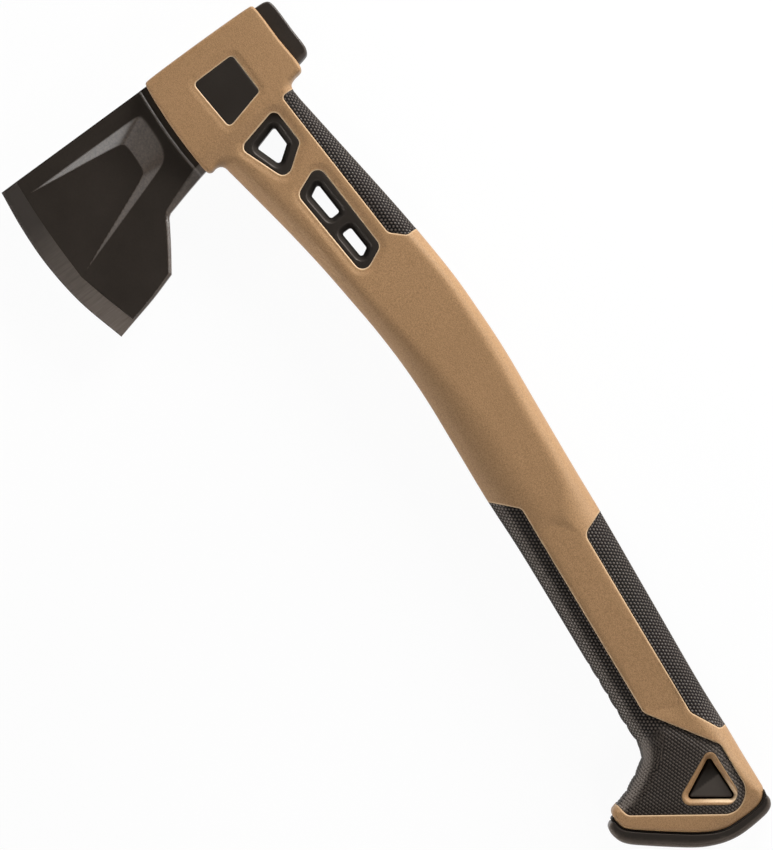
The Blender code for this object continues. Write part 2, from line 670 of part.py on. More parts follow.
def make_butt_cap():
    """Rubber foot over the plug's flange, with a rounded rim on both sides of its walking face."""
    seat = beside(BUTT_END, 2 * GAP + FLANGE)[2:-1]
    back_notch = (CAP_FACE[0][0] - GAP, CAP_FACE[0][1] - 2 * GAP)
    inner = [*reversed(seat), back_notch]
    drawn_in = beside(CAP_FACE, -CAP_ROUND)
    drawn_in[0] = Vector(CAP_FACE[0])
    drawn_in[-1] = Vector(CAP_FACE[-1])
    rings = []
    for outline, height in (
        (drawn_in, -CAP_HALF),
        (CAP_FACE, CAP_ROUND - CAP_HALF),
        (CAP_FACE, CAP_HALF - CAP_ROUND),
        (drawn_in, CAP_HALF),
    ):
        rings.append(level([*outline, *inner], height))
    return stacked("butt_cap", rings)


def finish(name, colour, roughness, metallic):
    material = bpy.data.materials.new(name)
    material.use_nodes = True
    shader = material.node_tree.nodes["Principled BSDF"]
    shader.inputs["Base Color"].default_value = (*colour, 1)
    shader.inputs["Roughness"].default_value = roughness
    shader.inputs["Metallic"].default_value = metallic
    return material


def main():
    for item in list(bpy.data.objects):
        bpy.data.objects.remove(item, do_unlink=True)
    steel = finish("coated_steel", (0.018, 0.017, 0.016), 0.5, 0.6)
    nylon = finish("tan_nylon", (0.36, 0.23, 0.13), 0.6, 0.0)
    rubber = finish("black_rubber", (0.022, 0.021, 0.02), 0.75, 0.0)
    plastic = finish("black_nylon", (0.015, 0.015, 0.015), 0.5, 0.0)

    front_grip = wrapped_rubber("front_grip", FRONT_GRIP)
    cut(front_grip, through("ring", rounded(moved_out(RING, GAP))))
    pieces = [
        (make_axe_head(), steel),
        (make_handle_body(), nylon),
        (make_badge("left_badge", 1), rubber),
        (make_badge("right_badge", -1), rubber),
        (make_liner("upper_lashing_liner", UPPER_LINER, UPPER_SLOTS), rubber),
        (make_liner("lower_lashing_liner", LOWER_LINER, LOWER_SLOTS), rubber),
        (wrapped_rubber("neck_pad", NECK_PAD), rubber),
        (front_grip, rubber),
        (wrapped_rubber("rear_grip", REAR_GRIP), rubber),
        (make_butt_plug(), plastic),
        (make_butt_cap(), rubber),
    ]

    frame = bpy.data.objects.new("hatchet", None)
    bpy.context.scene.collection.objects.link(frame)
    corners = [vertex.co for piece, _ in pieces for vertex in piece.data.vertices]
    middles = [(min(c[axis] for c in corners) + max(c[axis] for c in corners)) / 2 for axis in (0, 1)]
    frame.location = (-middles[0], -middles[1], -min(c.z for c in corners))
    for piece, material in pieces:
        piece.data.materials.clear()
        piece.data.materials.append(material)
        piece.parent = frame


main()
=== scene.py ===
# %% [markdown]
# A camp hatchet, dressed for its picture
#
# The solids of this hatchet are plain: they have the right sizes, but no grain, no grip texture and no soft
# edges. This lesson dresses them. Each piece is drawn again as a finer mesh in the same place, gets a
# finish made of shader nodes, and takes the place of its plain solid. A drawing of the tool's left side
# gives every outline, in millimetres, with the handle along x, the poll towards +y and the tool's middle
# plane at z = 0. The collar's end, the poll's face and the middle of the body place that drawing in the
# frame.

# %% Frame, units and the drawing's origin
import json
import math

import bpy
import numpy as np
from mathutils import Matrix, Vector
from mathutils.geometry import delaunay_2d_cdt
from mathutils.kdtree import KDTree

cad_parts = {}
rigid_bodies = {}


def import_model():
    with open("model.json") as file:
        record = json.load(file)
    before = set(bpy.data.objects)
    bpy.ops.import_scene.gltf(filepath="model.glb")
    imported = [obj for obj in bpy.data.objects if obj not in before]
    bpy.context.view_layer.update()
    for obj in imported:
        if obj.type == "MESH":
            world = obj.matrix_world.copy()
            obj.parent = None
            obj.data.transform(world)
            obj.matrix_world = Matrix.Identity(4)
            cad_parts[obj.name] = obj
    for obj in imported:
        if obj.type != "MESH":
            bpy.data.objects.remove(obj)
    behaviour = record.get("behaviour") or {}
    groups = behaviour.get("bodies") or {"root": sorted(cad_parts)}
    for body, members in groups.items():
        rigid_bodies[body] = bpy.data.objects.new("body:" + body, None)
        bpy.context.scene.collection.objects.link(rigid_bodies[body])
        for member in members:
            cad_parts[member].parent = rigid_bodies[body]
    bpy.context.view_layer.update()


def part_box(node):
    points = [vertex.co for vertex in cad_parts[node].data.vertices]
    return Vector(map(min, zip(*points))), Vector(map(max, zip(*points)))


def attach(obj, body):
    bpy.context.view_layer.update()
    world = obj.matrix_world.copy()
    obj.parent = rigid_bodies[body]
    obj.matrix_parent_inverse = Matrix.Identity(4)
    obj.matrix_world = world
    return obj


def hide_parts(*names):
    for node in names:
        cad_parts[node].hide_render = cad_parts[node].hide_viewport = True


MM = 0.001
COLLAR_TOP = -25.0
POLL_REACH = 40.2

for leftover in list(bpy.data.objects):
    bpy.data.objects.remove(leftover, do_unlink=True)
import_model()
body_low, body_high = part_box("handle_body")
_, head_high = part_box("axe_head")
origin = np.array(
    [
        body_low.x - COLLAR_TOP * MM,
        head_high.y - POLL_REACH * MM,
        (body_low.z + body_high.z) / 2,
    ]
)
print("the drawing's origin in the frame, in mm:", np.round(origin / MM, 2))

# %% [markdown]
# Outlines
#
# The handle's outline on the real tool is a soft moulded curve, so it is drawn as a smooth closed curve
# through a few given points. A Bezier object could do the same, but plain arrays are easier to
# measure against later. A third number travels along with a point, such as how wide the rounded shoulder is
# there.

# %% Smooth curves
CURVE_SAMPLES = 12
LEAST_POINTS = 3


def spread(points, step, closed=True):
    """The same line with points an even step apart."""
    line = np.vstack([points, points[:1]]) if closed else np.asarray(points, float)
    lengths = np.hypot(*np.diff(line[:, :2], axis=0).T)
    reach = np.concatenate([[0], np.cumsum(lengths)])
    count = max(int(round(reach[-1] / step)), LEAST_POINTS)
    places = np.linspace(0, reach[-1], count + 1)[: count if closed else None]
    return np.stack([np.interp(places, reach, column) for column in line.T], 1)


def curve(points, step, closed=True):
    """A smooth curve through points, loose where they are far apart and tight where they are close."""
    knots = np.asarray(points, float)
    if closed:
        knots = np.vstack([knots[-1], knots, knots[:2]])
    else:
        knots = np.vstack([2 * knots[0] - knots[1], knots, 2 * knots[-1] - knots[-2]])
    pace = np.sqrt(np.hypot(*np.diff(knots[:, :2], axis=0).T))
    share = np.linspace(0, 1, CURVE_SAMPLES, endpoint=False)[:, None]
    drawn = []
    for index in range(1, len(knots) - 2):
        before, here, after, beyond = knots[index - 1 : index + 3]
        a, b, c = pace[index - 1 : index + 2]
        leave = b * ((here - before) / a - (after - before) / (a + b) + (after - here) / b)
        arrive = b * ((after - here) / b - (beyond - here) / (b + c) + (beyond - after) / c)
        square, cube = share**2, share**3
        drawn.append(
            (2 * cube - 3 * square + 1) * here
            + (cube - 2 * square + share) * leave
            + (3 * square - 2 * cube) * after
            + (cube - square) * arrive
        )
    if not closed:
        drawn.append(knots[-2:-1])
    return spread(np.vstack(drawn), step, closed)


circle = curve([(10, 0), (0, 10), (-10, 0), (0, -10)], 0.5)
print("a curve through 4 points of a 10 mm circle dips by", round(10 - np.hypot(*circle.T).min(), 2), "mm")

# %% [markdown]
# The windows and seams have straight sides that meet in round corners, each with its own radius. A piece
# that fits in a window takes the window's outline and moves it outwards or inwards, so one number sets the
# fit.

# %% Rounded corners
CORNER_POINTS = 9


def rounded(corners, step=0.5):
    """A closed outline with straight sides, from corners given as x, y and radius."""
    outline = []
    for index, (x, y, radius) in enumerate(corners):
        corner = np.array([x, y], float)
        back = np.array(corners[index - 1][:2]) - corner
        ahead = np.array(corners[(index + 1) % len(corners)][:2]) - corner
        back, ahead = back / np.hypot(*back), ahead / np.hypot(*ahead)
        half = math.acos(np.clip(back @ ahead, -1, 1)) / 2
        if radius == 0:
            outline.append(corner)
            continue
        middle = (back + ahead) / np.hypot(*(back + ahead))
        centre = corner + middle * radius / math.sin(half)
        side = np.array([middle[1], -middle[0]]) * np.sign(back @ [middle[1], -middle[0]])
        for turn in np.linspace(math.pi / 2 - half, half - math.pi / 2, CORNER_POINTS):
            outline.append(centre + radius * (math.sin(turn) * side - math.cos(turn) * middle))
    return spread(np.array(outline), step)


def area(outline):
    """The area inside a closed outline, positive where it runs counter-clockwise."""
    x, y = outline[:, 0], outline[:, 1]
    return float(x @ np.roll(y, -1) - y @ np.roll(x, -1)) / 2


def grown(outline, distance):
    """A closed outline moved outwards, or inwards where the distance is negative."""
    ahead = np.roll(outline, -1, 0) - np.roll(outline, 1, 0)
    ahead = ahead[:, :2] / np.hypot(*ahead[:, :2].T)[:, None]
    moved = outline.copy()
    moved[:, :2] += distance * np.stack([ahead[:, 1], -ahead[:, 0]], 1) * np.sign(area(outline))
    return moved


square = rounded([(0, 0, 2), (10, 0, 2), (10, 10, 2), (0, 10, 2)])
print("a 10 mm square with 2 mm corners:", round(area(square), 1), "square mm")

# %% [markdown]
# Every soft edge in this lesson depends on one question: how far is a point from an outline? A tree of the
# outline's points answers it quickly, and the nearest stretch of line then gives the exact distance.

# %% Measuring from an outline
CLOSE = 0.02
RING_SHARE = 0.9


class Outline:
    """A closed line that can say how far points are from it, which way is in, and what it carries there."""

    def __init__(self, points):
        self.points = points if area(points) > 0 else points[::-1]
        self.inward = grown(self.points, -1)[:, :2] - self.points[:, :2]
        self.tree = KDTree(len(points))
        for index, point in enumerate(self.points):
            self.tree.insert((point[0], point[1], 0), index)
        self.tree.balance()

    def near(self, flat):
        """Distance, positive inside, the way in, and the line's own values at the nearest place."""
        found = np.array([self.tree.find((x, y, 0))[1] for x, y in flat], int)
        best = np.full(len(flat), np.inf)
        way = np.zeros((len(flat), 2))
        value = np.zeros((len(flat), self.points.shape[1]))
        for first, last in ((found - 1, found), (found, (found + 1) % len(self.points))):
            start, run = self.points[first], self.points[last] - self.points[first]
            share = ((flat - start[:, :2]) * run[:, :2]).sum(1) / (run[:, :2] ** 2).sum(1)
            share = np.clip(share, 0, 1)[:, None]
            place = start + share * run
            inward = (1 - share) * self.inward[first] + share * self.inward[last]
            gap = flat - place[:, :2]
            reach = np.hypot(*gap.T)
            side = np.where((gap * inward).sum(1) < 0, -1, 1)
            clear_of = reach > CLOSE
            gap = np.where(clear_of[:, None], gap * (side / np.maximum(reach, CLOSE))[:, None], inward)
            closer = reach < np.abs(best)
            best = np.where(closer, side * reach, best)
            way[closer], value[closer] = gap[closer], place[closer]
        return best, way, value

    def holds(self, flat):
        """Which points are inside."""
        return self.near(flat)[0] > 0

    def inset(self, distances):
        """Points at several distances inside the line, where no other stretch of it comes nearer."""
        rings = []
        for distance in distances:
            ring = grown(self.points, -distance)[:, :2]
            rings.append(ring[np.abs(self.near(ring)[0]) > RING_SHARE * abs(distance)])
        return np.vstack(rings)


square_edge = Outline(square)
middle_depth = float(square_edge.near(np.array([[5.0, 5.0]]))[0][0])
print("the middle of that square lies", round(middle_depth, 2), "mm inside its outline")

# %% [markdown]
# The drawing
#
# The handle's points are x, y and the width of the rounded shoulder there: narrow on the sharp-edged collar
# and the butt's rim, wide along the shaft and the grip, where a hand closes round it. They run along the
# front from the collar to the finger hook, round the butt, and home along the back.

# %% Outline of the handle
FRONT_LINE = [
    (-25, -27.6, 1.5), (-24.7, -28.7, 1.5), (-23.6, -29.3, 1.3), (-10, -30.6, 1.3), (2, -31, 1.3),
    (14, -30.8, 1.3), (23.4, -30.2, 1.6), (25.1, -29.5, 1.8), (25.8, -28, 2), (25.4, -25.6, 3),
    (26, -23.5, 4.5), (27.8, -22.1, 7), (31, -21.5, 9), (50, -18.5, 10), (70, -15.5, 9.5),
    (90, -13, 8.5), (110, -11.2, 8.5), (130, -9.7, 9.5), (150, -9.2, 12), (170, -9.9, 16),
    (190, -11.6, 19.5), (223, -14.5, 21), (250, -16, 20.6), (300, -20.2, 20.2), (340, -23.7, 18),
    (355.5, -25, 12), (360, -27.8, 9), (364, -34, 8.5), (367, -40, 8), (369, -45, 7), (370, -49, 5),
]
BUTT_LINE = [
    (371, -51.6, 3), (372.8, -52.8, 2), (376.5, -53, 1.6), (380, -52.2, 1.4), (382.3, -50.3, 1.3),
    (400, -28.5, 1.2), (403.2, -23.9, 1.2), (406, -19.3, 1.2), (408, -14, 1.2), (408.6, -8, 1.2),
    (408.6, 0, 1.2), (408, 4.8, 1.6), (406.2, 8.2, 2.6), (403, 10.5, 4.2),
]
BACK_LINE = [
    (400, 10.9, 5.5), (385, 12.2, 9), (370, 13.6, 10.5), (350, 15, 14), (300, 20.2, 20), (257, 24.7, 20.5),
    (235, 26.6, 9.6), (200, 30, 8), (170, 32.9, 7), (150, 33.8, 6.5), (130, 34.1, 6), (100, 32.5, 7),
    (80, 30.7, 9), (60, 28.6, 9), (30, 25.4, 7.5), (20, 24.4, 6.5), (16, 24.5, 5), (14.2, 25.6, 3.5),
    (13.1, 28.3, 2.2), (12.5, 31.8, 1.8), (11.4, 33, 1.5), (-5, 32.5, 1.3), (-23.6, 31.9, 1.3),
    (-24.7, 31.3, 1.5), (-25, 30.2, 1.5),
]
HANDLE_STEP = 0.9

handle = Outline(curve(FRONT_LINE + BUTT_LINE + BACK_LINE, HANDLE_STEP))
print("the handle's outline:", len(handle.points), "points round", round(area(handle.points)), "square mm")

# %% [markdown]
# The rubber's seams, the windows and the flank of the grip have corners, given as x, y and radius. A seam
# that leaves the handle over its edge is drawn well past it, because only the part on the handle counts.

# %% Outlines of the rubber, the windows and the flank
FRONT_GRIP = [
    (213, -24, 0), (234.5, -4, 4), (343, -13.8, 6), (375.3, 6.2, 4), (399.4, 4.2, 9), (406, -6, 9),
    (376.8, -47.4, 4), (355, -50.5, 0), (335, -90, 0), (213, -90, 0),
]
REAR_GRIP = [
    (252, 60, 0), (256.4, 25.6, 0), (261, 12.7, 5), (355.5, 3.9, 4), (369.6, 10.6, 2), (370.6, 60, 0),
]
NECK_PAD = [(17, 60, 0), (17, 18.1, 2), (96, 21, 4), (102, 27.4, 2), (101.8, 60, 0)]
BADGE = [(-11.8, 10.9, 2), (8.9, 11.4, 2), (14.2, -9.4, 2), (-11.4, -11.1, 2)]
UPPER_WINDOW = [(19.4, 12.1, 3), (38.4, 12.7, 3), (49.3, -2.1, 4), (25, -11.1, 3)]
UPPER_SLOT = [(25.7, 7.3, 1.2), (35.6, 7.4, 1.2), (41.6, -0.8, 1.5), (29.2, -4.9, 1.2)]
LOWER_WINDOW = [(51.2, 13.2, 4), (98.8, 14.6, 4), (105.4, 0.5, 4), (57.8, -2.4, 4)]
LOWER_SLOTS = [
    [(58.6, 8.1, 1.2), (75.2, 8.7, 1.2), (75.4, 3.5, 1.2), (61.6, 2.4, 1.2)],
    [(83.8, 8.6, 1.2), (95.7, 9.1, 1.2), (98.3, 4.5, 1.2), (83.8, 3.6, 1.2)],
]
RING = [(373, 2, 3.1), (405.1, -0.1, 5.5), (385.9, -27, 4)]
LUG_WINDOW = [(376.5, -0.9, 1.5), (400.2, -2.1, 1.8), (386.4, -21.2, 1.6)]
FLANK = [(247, -4, 3), (249, 4, 5), (259, 10.9, 5), (352, 2.5, 4), (343.5, -11.6, 4)]
FLANK_STEP = 1.0

front_seam = Outline(rounded(FRONT_GRIP))
rear_seam = Outline(rounded(REAR_GRIP))
pad_seam = Outline(rounded(NECK_PAD))
badge_window = Outline(rounded(BADGE))
upper_window = Outline(rounded(UPPER_WINDOW))
lower_window = Outline(rounded(LOWER_WINDOW))
ring_edge = Outline(rounded(RING))
flank_edge = Outline(rounded(FLANK, FLANK_STEP))
windows = [upper_window, lower_window, badge_window]
seams = [front_seam, rear_seam, pad_seam]
print("windows in the body:", [round(area(edge.points)) for edge in windows], "square mm")

# %% [markdown]
# The handle's section
#
# Cut across, the neck has two flat sides and a rounded shoulder at the front and back. Towards the grip the
# shoulders widen until they meet, and the section becomes an oval. The shoulder is a quarter of an ellipse.
# A point's height above the middle plane therefore comes from its distance to the outline, which works
# round the butt's hook and the collar's corners as well as along the straight shaft.

# %% Height of the handle's surface
HALF_THICKNESS = [
    (-25, 16), (14, 16), (17, 15.6), (22, 13.9), (26, 12.95), (29, 12.8), (100, 12.8), (115, 13.05),
    (140, 13.85), (150, 14), (205, 14), (218, 14.2), (240, 14.85), (250, 15), (352, 15), (357, 15.3),
    (363, 15.8), (368, 16), (402, 16), (405, 15.6), (409, 14.6),
]
EDGE_BAND = 3.0
SHOULDER_RISE = 1.4
LEAST_SINE = 1e-6
ROLL_SAMPLES = 25


def half_thickness(x):
    """Half the handle's thickness at places along it."""
    return np.interp(x, *np.array(HALF_THICKNESS).T)


class Section:
    """The handle's surface at points of the drawing: height, slope and the way out of the shoulder."""

    def __init__(self, edge, flat, half=None):
        self.flat = flat
        self.distance, self.inward, self.value = edge.near(flat)
        self.width = self.value[:, 2]
        self.half = half_thickness(flat[:, 0]) if half is None else np.full(len(flat), half)
        self.band = np.maximum(EDGE_BAND, self.half - SHOULDER_RISE * self.width)
        self.cosine = np.clip(1 - self.distance / self.width, 0, 1)
        self.sine = np.sqrt(1 - self.cosine**2)
        self.height = self.band + (self.half - self.band) * self.sine

    def normal(self):
        """The way straight out of the surface."""
        out = self.cosine / self.width
        up = np.maximum(self.sine, LEAST_SINE) / (self.half - self.band)
        way = np.column_stack([-self.inward * out[:, None], up])
        return way / np.linalg.norm(way, axis=1)[:, None]

    def unrolled(self):
        """The same points with the shoulder rolled out flat, so that a pattern keeps its scale round it."""
        turns = np.linspace(0, 1, ROLL_SAMPLES)
        angle = np.arccos(self.cosine)[:, None] * (1 - turns) + math.pi / 2 * turns
        rise = self.half - self.band
        speed = np.hypot(self.width[:, None] * np.sin(angle), rise[:, None] * np.cos(angle))
        length = speed.mean(1) * (math.pi / 2 - np.arccos(self.cosine))
        extra = np.maximum(length - np.maximum(self.width - self.distance, 0), 0)
        return self.flat - self.inward * extra[:, None]


print("half thickness at the collar, the neck and the grip:", half_thickness([0, 60, 300]), "mm")

# %% [markdown]
# From drawing to solid
#
# A net of triangles is stretched inside an outline with Blender's own constrained triangulation, which
# keeps every edge of the drawing. A grid with a Boolean would also work, but its edges would be jagged and
# its faces far more numerous.

# %% Nets
SAME_POINT = 1e-5
ROW_RISE = math.sqrt(0.75)


def net(loops, seeds, keep, lines=()):
    """Triangles between closed loops, open lines and loose points. keep says which middles stay."""
    points, edges = [], []
    for line, closed in [(loop, True) for loop in loops] + [(line, False) for line in lines]:
        first, count = len(points), len(line)
        points += [Vector(point[:2]) for point in line]
        edges += [(first + index, first + (index + 1) % count) for index in range(count - (not closed))]
    points += [Vector(point[:2]) for point in seeds]
    corners, _, faces, *_ = delaunay_2d_cdt(points, edges, [], 0, SAME_POINT)
    flat = np.array([tuple(corner) for corner in corners])
    faces = np.array([tuple(face) for face in faces])
    faces = faces[keep(flat[faces].mean(1))]
    used, faces = np.unique(faces, return_inverse=True)
    return flat[used], faces.reshape(-1, 3)


def rim(faces):
    """The directed edges that belong to one triangle only."""
    edges = np.vstack([faces[:, [0, 1]], faces[:, [1, 2]], faces[:, [2, 0]]])
    count = faces.max() + 1
    keys, turned = edges[:, 0] * count + edges[:, 1], edges[:, 1] * count + edges[:, 0]
    return edges[~np.isin(keys, turned)]


def grid(low, high, step):
    """A staggered grid of points over a rectangle."""
    rise = step * ROW_RISE
    rows = int((high[1] - low[1]) / rise) + 1
    columns = int((high[0] - low[0]) / step) + 1
    across, up = np.meshgrid(np.arange(columns), np.arange(rows))
    x = low[0] + (across + 0.5 * (up % 2)) * step
    return np.stack([x.ravel(), (low[1] + up * rise).ravel()], 1)


def clear(seeds, edges, gap):
    """The seeds that keep a gap to every outline."""
    for edge in edges:
        seeds = seeds[np.abs(edge.near(seeds)[0]) > gap]
    return seeds


patch, patch_faces = net([square], clear(grid((0, 0), (10, 10), 2), [square_edge], 1), square_edge.holds)
print("a net in that square:", len(patch_faces), "triangles with", len(rim(patch_faces)), "edges round them")

# %% [markdown]
# A net becomes a solid when it is lifted to its height, mirrored below the middle plane and closed with
# walls along its rim. Each point can also carry a number, such as how worn it is there, and the finish
# reads it later.


# %% Closed pieces
def lifted(flat, height):
    """Points of the drawing raised to one height, or each to its own."""
    return np.column_stack([flat, np.broadcast_to(height, len(flat))])


def walled(upper, lower, faces):
    """A closed solid: a net of points in space, the same net lower down, and walls between."""
    count = len(upper)
    walls = [(b, a, a + count, b + count) for a, b in rim(faces)]
    return np.vstack([upper, lower]), [*faces.tolist(), *(faces[:, ::-1] + count).tolist(), *walls]


def mirrored(flat, height, faces):
    """A closed solid between a net raised to its height and its mirror image below the middle plane."""
    return walled(lifted(flat, height), lifted(flat, -height), faces)


def made(name, points, faces):
    """An object in the frame from points in millimetres on the drawing."""
    places = (np.asarray(points) * MM + origin).tolist()
    mesh = bpy.data.meshes.new(name)
    mesh.from_pydata(places, [], [list(map(int, face)) for face in faces])
    mesh.shade_smooth()
    piece = bpy.data.objects.new(name, mesh)
    bpy.context.scene.collection.objects.link(piece)
    return piece


def carry(piece, name, values):
    """Gives each point of a piece a number that its finish can read."""
    attribute = piece.data.attributes.new(name, "FLOAT", "POINT")
    attribute.data.foreach_set("value", np.asarray(values, np.float32))


block = mirrored(patch, 3.0, patch_faces)
print("the same net as a block 6 mm high:", len(block[0]), "points and", len(block[1]), "faces")

# %% [markdown]
# Moulded edges are never sharp. One helper rolls an edge over, one fades a feature in, and two bend softly
# where one surface gives way to another, as a fillet does.


# %% Soft edges
def rolled(distance, radius):
    """How far a rounded edge has dropped at a distance from its end."""
    return radius - np.sqrt(radius**2 - np.clip(radius - distance, 0, radius) ** 2)


def eased(value, start, end):
    """A smooth rise from 0 at start to 1 at end."""
    share = np.clip((value - start) / (end - start), 0, 1)
    return share * share * (3 - 2 * share)


def softly_above(value, softness):
    """The value where it is positive and 0 elsewhere, with a soft bend between."""
    return (value + np.sqrt(value**2 + softness**2)) / 2


def softly_least(first, second, softness):
    """The lesser of two values, with a soft bend where they meet."""
    return first - softly_above(first - second, softness)


drops = rolled(np.array([0, 0.25, 0.5, 1]), 1.0)
print("a 1 mm rolled edge has dropped by", np.round(drops, 2), "mm at 0, 0.25, 0.5 and 1 mm from its end")

# %% [markdown]
# Tan body
#
# The body is one nylon moulding round the head: collar, pierced neck, shaft, grip and butt. Its windows lie
# in shallow dishes with rolled edges, and a flat flank is sunk between the two rubber grips. The rubber
# fills beds that go right through here, so each seam becomes a fine groove between two rolled edges.

# %% Height of the tan body
SEAM_ROLL = 0.8
DISH_FLOOR = 0.9
DISH_WIDTH = 4.0
LINER_DISH = 0.7
BADGE_DISH = 0.5
FLANK_HEIGHT = 14.15
FLANK_RAMP = 0.18
FLANK_BEND = 0.25
openings = windows + seams


def in_body(flat):
    """Which points of the drawing are tan."""
    return handle.holds(flat) & ~np.any([edge.holds(flat) for edge in openings], axis=0)


def body_height(flat):
    """The height of the tan surface at points of the drawing."""
    height = Section(handle, flat).height
    for edge, depth in zip(windows, (LINER_DISH, LINER_DISH, BADGE_DISH)):
        away = np.abs(edge.near(flat)[0])
        height -= depth * (1 - eased(away, DISH_FLOOR, DISH_WIDTH)) + rolled(away, SEAM_ROLL)
    for edge in seams:
        height -= rolled(np.abs(edge.near(flat)[0]), SEAM_ROLL)
    beyond = np.maximum(-flank_edge.near(flat)[0], 0)
    return softly_least(height, FLANK_HEIGHT + FLANK_RAMP * beyond, FLANK_BEND)


flank_height = float(body_height(np.array([[300.0, 0.0]]))[0])
print("the grip's flank lies", round(flank_height, 2), "mm above the middle plane")

# %% [markdown]
# The net needs points where the surface bends: up the shoulder in even turns, in rings beside each window
# and seam, and round the flank. A loose grid is enough everywhere else.

# %% Points for the tan body
SHOULDER_TURNS = 8
SEAM_RINGS = (-0.1, -0.25, -0.5, -0.8)
DISH_RINGS = (*SEAM_RINGS, -1.2, -1.6, -2.1, -2.7, -3.3, -4)
FLANK_RINGS = (-3, -2, -1.2, -0.6, 0.01, 0.6)
FIELD_AREA = (-24, -54), (408, 40)
FIELD_STEP = 1.6
FIELD_DEPTH, FIELD_MARGIN = 9, 0.8
SHOULDER_GAP, EDGE_GAP, FLANK_GAP, FIELD_GAP = 0.5, 0.3, 0.7, 1.2


def shoulder_rings(edge, turns):
    """Rings of points in even turns up an outline's rounded shoulder, each with its depth inside."""
    for turn in np.linspace(0, math.pi / 2, turns + 1)[1:]:
        depth = edge.points[:, 2] * (1 - math.cos(turn))
        yield edge.points[:, :2] + edge.inward * depth[:, None], depth


rings = shoulder_rings(handle, SHOULDER_TURNS)
shoulder_seeds = np.vstack([ring[handle.near(ring)[0] > RING_SHARE * depth] for ring, depth in rings])
shoulder_seeds = clear(shoulder_seeds[in_body(shoulder_seeds)], openings, SHOULDER_GAP)
edge_seeds = [edge.inset(DISH_RINGS) for edge in windows] + [edge.inset(SEAM_RINGS) for edge in seams]
edge_seeds = np.vstack(edge_seeds)
edge_seeds = edge_seeds[in_body(edge_seeds) & (handle.near(edge_seeds)[0] > EDGE_GAP)]
flank_seeds = flank_edge.inset(FLANK_RINGS)
flank_seeds = clear(flank_seeds[in_body(flank_seeds)], openings, FLANK_GAP)
field = grid(*FIELD_AREA, FIELD_STEP)
field = clear(field[in_body(field)], [*openings, flank_edge], FIELD_GAP)
depth, _, value = handle.near(field)
field = field[depth > np.minimum(FIELD_DEPTH, value[:, 2] + FIELD_MARGIN)]
body_seeds = np.vstack([shoulder_seeds, edge_seeds, flank_seeds, field])
print("tan body:", len(body_seeds), "points, of which", len(field), "are the loose grid")

# %% [markdown]
# Rims round the windows are painted pale as a highlight, and the seams less so. The points carry that
# painted highlight, so it stays with the edges from every side.

# %% Tan body
HIGHLIGHT_WIDTH = 0.7
SEAM_HIGHLIGHT = 0.45

flat, faces = net([edge.points for edge in (handle, *openings)], body_seeds, in_body)
body = made("tan_body", *mirrored(flat, body_height(flat), faces))
to_window = np.min([np.abs(edge.near(flat)[0]) for edge in windows], axis=0)
to_seam = np.min([np.abs(edge.near(flat)[0]) for edge in seams], axis=0)
# A painted highlight: pale colour along the window rims, and weaker along the seams.
body_highlight = np.maximum(1 - to_window / HIGHLIGHT_WIDTH, SEAM_HIGHLIGHT * (1 - to_seam / HIGHLIGHT_WIDTH))
carry(body, "worn", np.tile(np.clip(body_highlight, 0, 1), 2))
print("tan body:", len(body.data.polygons), "faces")
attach(body, "root")
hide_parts("handle_body")

# %% [markdown]
# Rubber texture
#
# The grips and the neck pad are soft rubber moulded over the nylon, with small round scales in staggered
# rows. A bump map would only shade them, so the scales are real relief: the net is fine enough to carry
# four points across each one. Near the butt they give way to slanted rows of little bricks.

# %% Scales and bricks
SCALE_PITCH = 1.8
SCALE_RADIUS = 0.84
SCALE_ANGLE = math.radians(-5)
BRICK_LENGTH = 1.7
BRICK_ROW = 1.4
BRICK_SLANT = math.radians(17)
BRICK_TOP = 0.6
BRICK_BEVEL = 0.3
BRICK_SQUARENESS = 6
LINE_PLACE, LINE_WIDTH = 0.35, 0.3
BRICKS_START, BRICKS_WHOLE = 350, 358


def turned(flat, angle):
    """Points in axes that are turned by an angle."""
    along = flat[:, 0] * math.cos(angle) + flat[:, 1] * math.sin(angle)
    across = flat[:, 1] * math.cos(angle) - flat[:, 0] * math.sin(angle)
    return along, across


def scales(flat):
    """Round scales in staggered rows: 1 on a crown and 0 in the grooves."""
    along, across = turned(flat, SCALE_ANGLE)
    rise = SCALE_PITCH * ROW_RISE
    lower = np.floor(across / rise)
    nearest = np.full(len(flat), np.inf)
    for row in (lower, lower + 1):
        shifted = along - 0.5 * SCALE_PITCH * (row % 2)
        aside = shifted - SCALE_PITCH * np.round(shifted / SCALE_PITCH)
        nearest = np.minimum(nearest, np.hypot(aside, across - row * rise))
    return np.clip(1 - (nearest / SCALE_RADIUS) ** 2, 0, 1)


def bricks(flat):
    """Flat bricks in slanted rows with a raised line near one edge: 1 on the line and 0 in the grooves."""
    along, across = turned(flat, BRICK_SLANT)
    row = np.round(across / BRICK_ROW)
    shifted = along - 0.5 * BRICK_LENGTH * (row % 2)
    aside = 2 * (shifted / BRICK_LENGTH - np.round(shifted / BRICK_LENGTH))
    over = 2 * (across / BRICK_ROW - row)
    top = BRICK_TOP * np.clip((1 - np.abs(over)) / BRICK_BEVEL, 0, 1)
    line = (1 - BRICK_TOP) * np.exp(-(((over - LINE_PLACE) / LINE_WIDTH) ** 2))
    return (1 - aside**BRICK_SQUARENESS) * (top + line)


def front_texture(flat):
    """Scales that turn into bricks towards the butt."""
    share = eased(flat[:, 0], BRICKS_START, BRICKS_WHOLE)
    return (1 - share) * scales(flat) + share * bricks(flat)


sample = grid((230, -20), (250, -10), 0.1)
print("grooves take", round(100 * float((scales(sample) < 0.1).mean())), "% of the scaly rubber")

# %% [markdown]
# A rubber piece follows the handle's section. Its points stand in rows an even step apart, measured round
# the shoulder, so that the scales are as fine on the silhouette as on the flat side. The edge also knows
# how tightly it bends, which tells the finger hook from the rest.

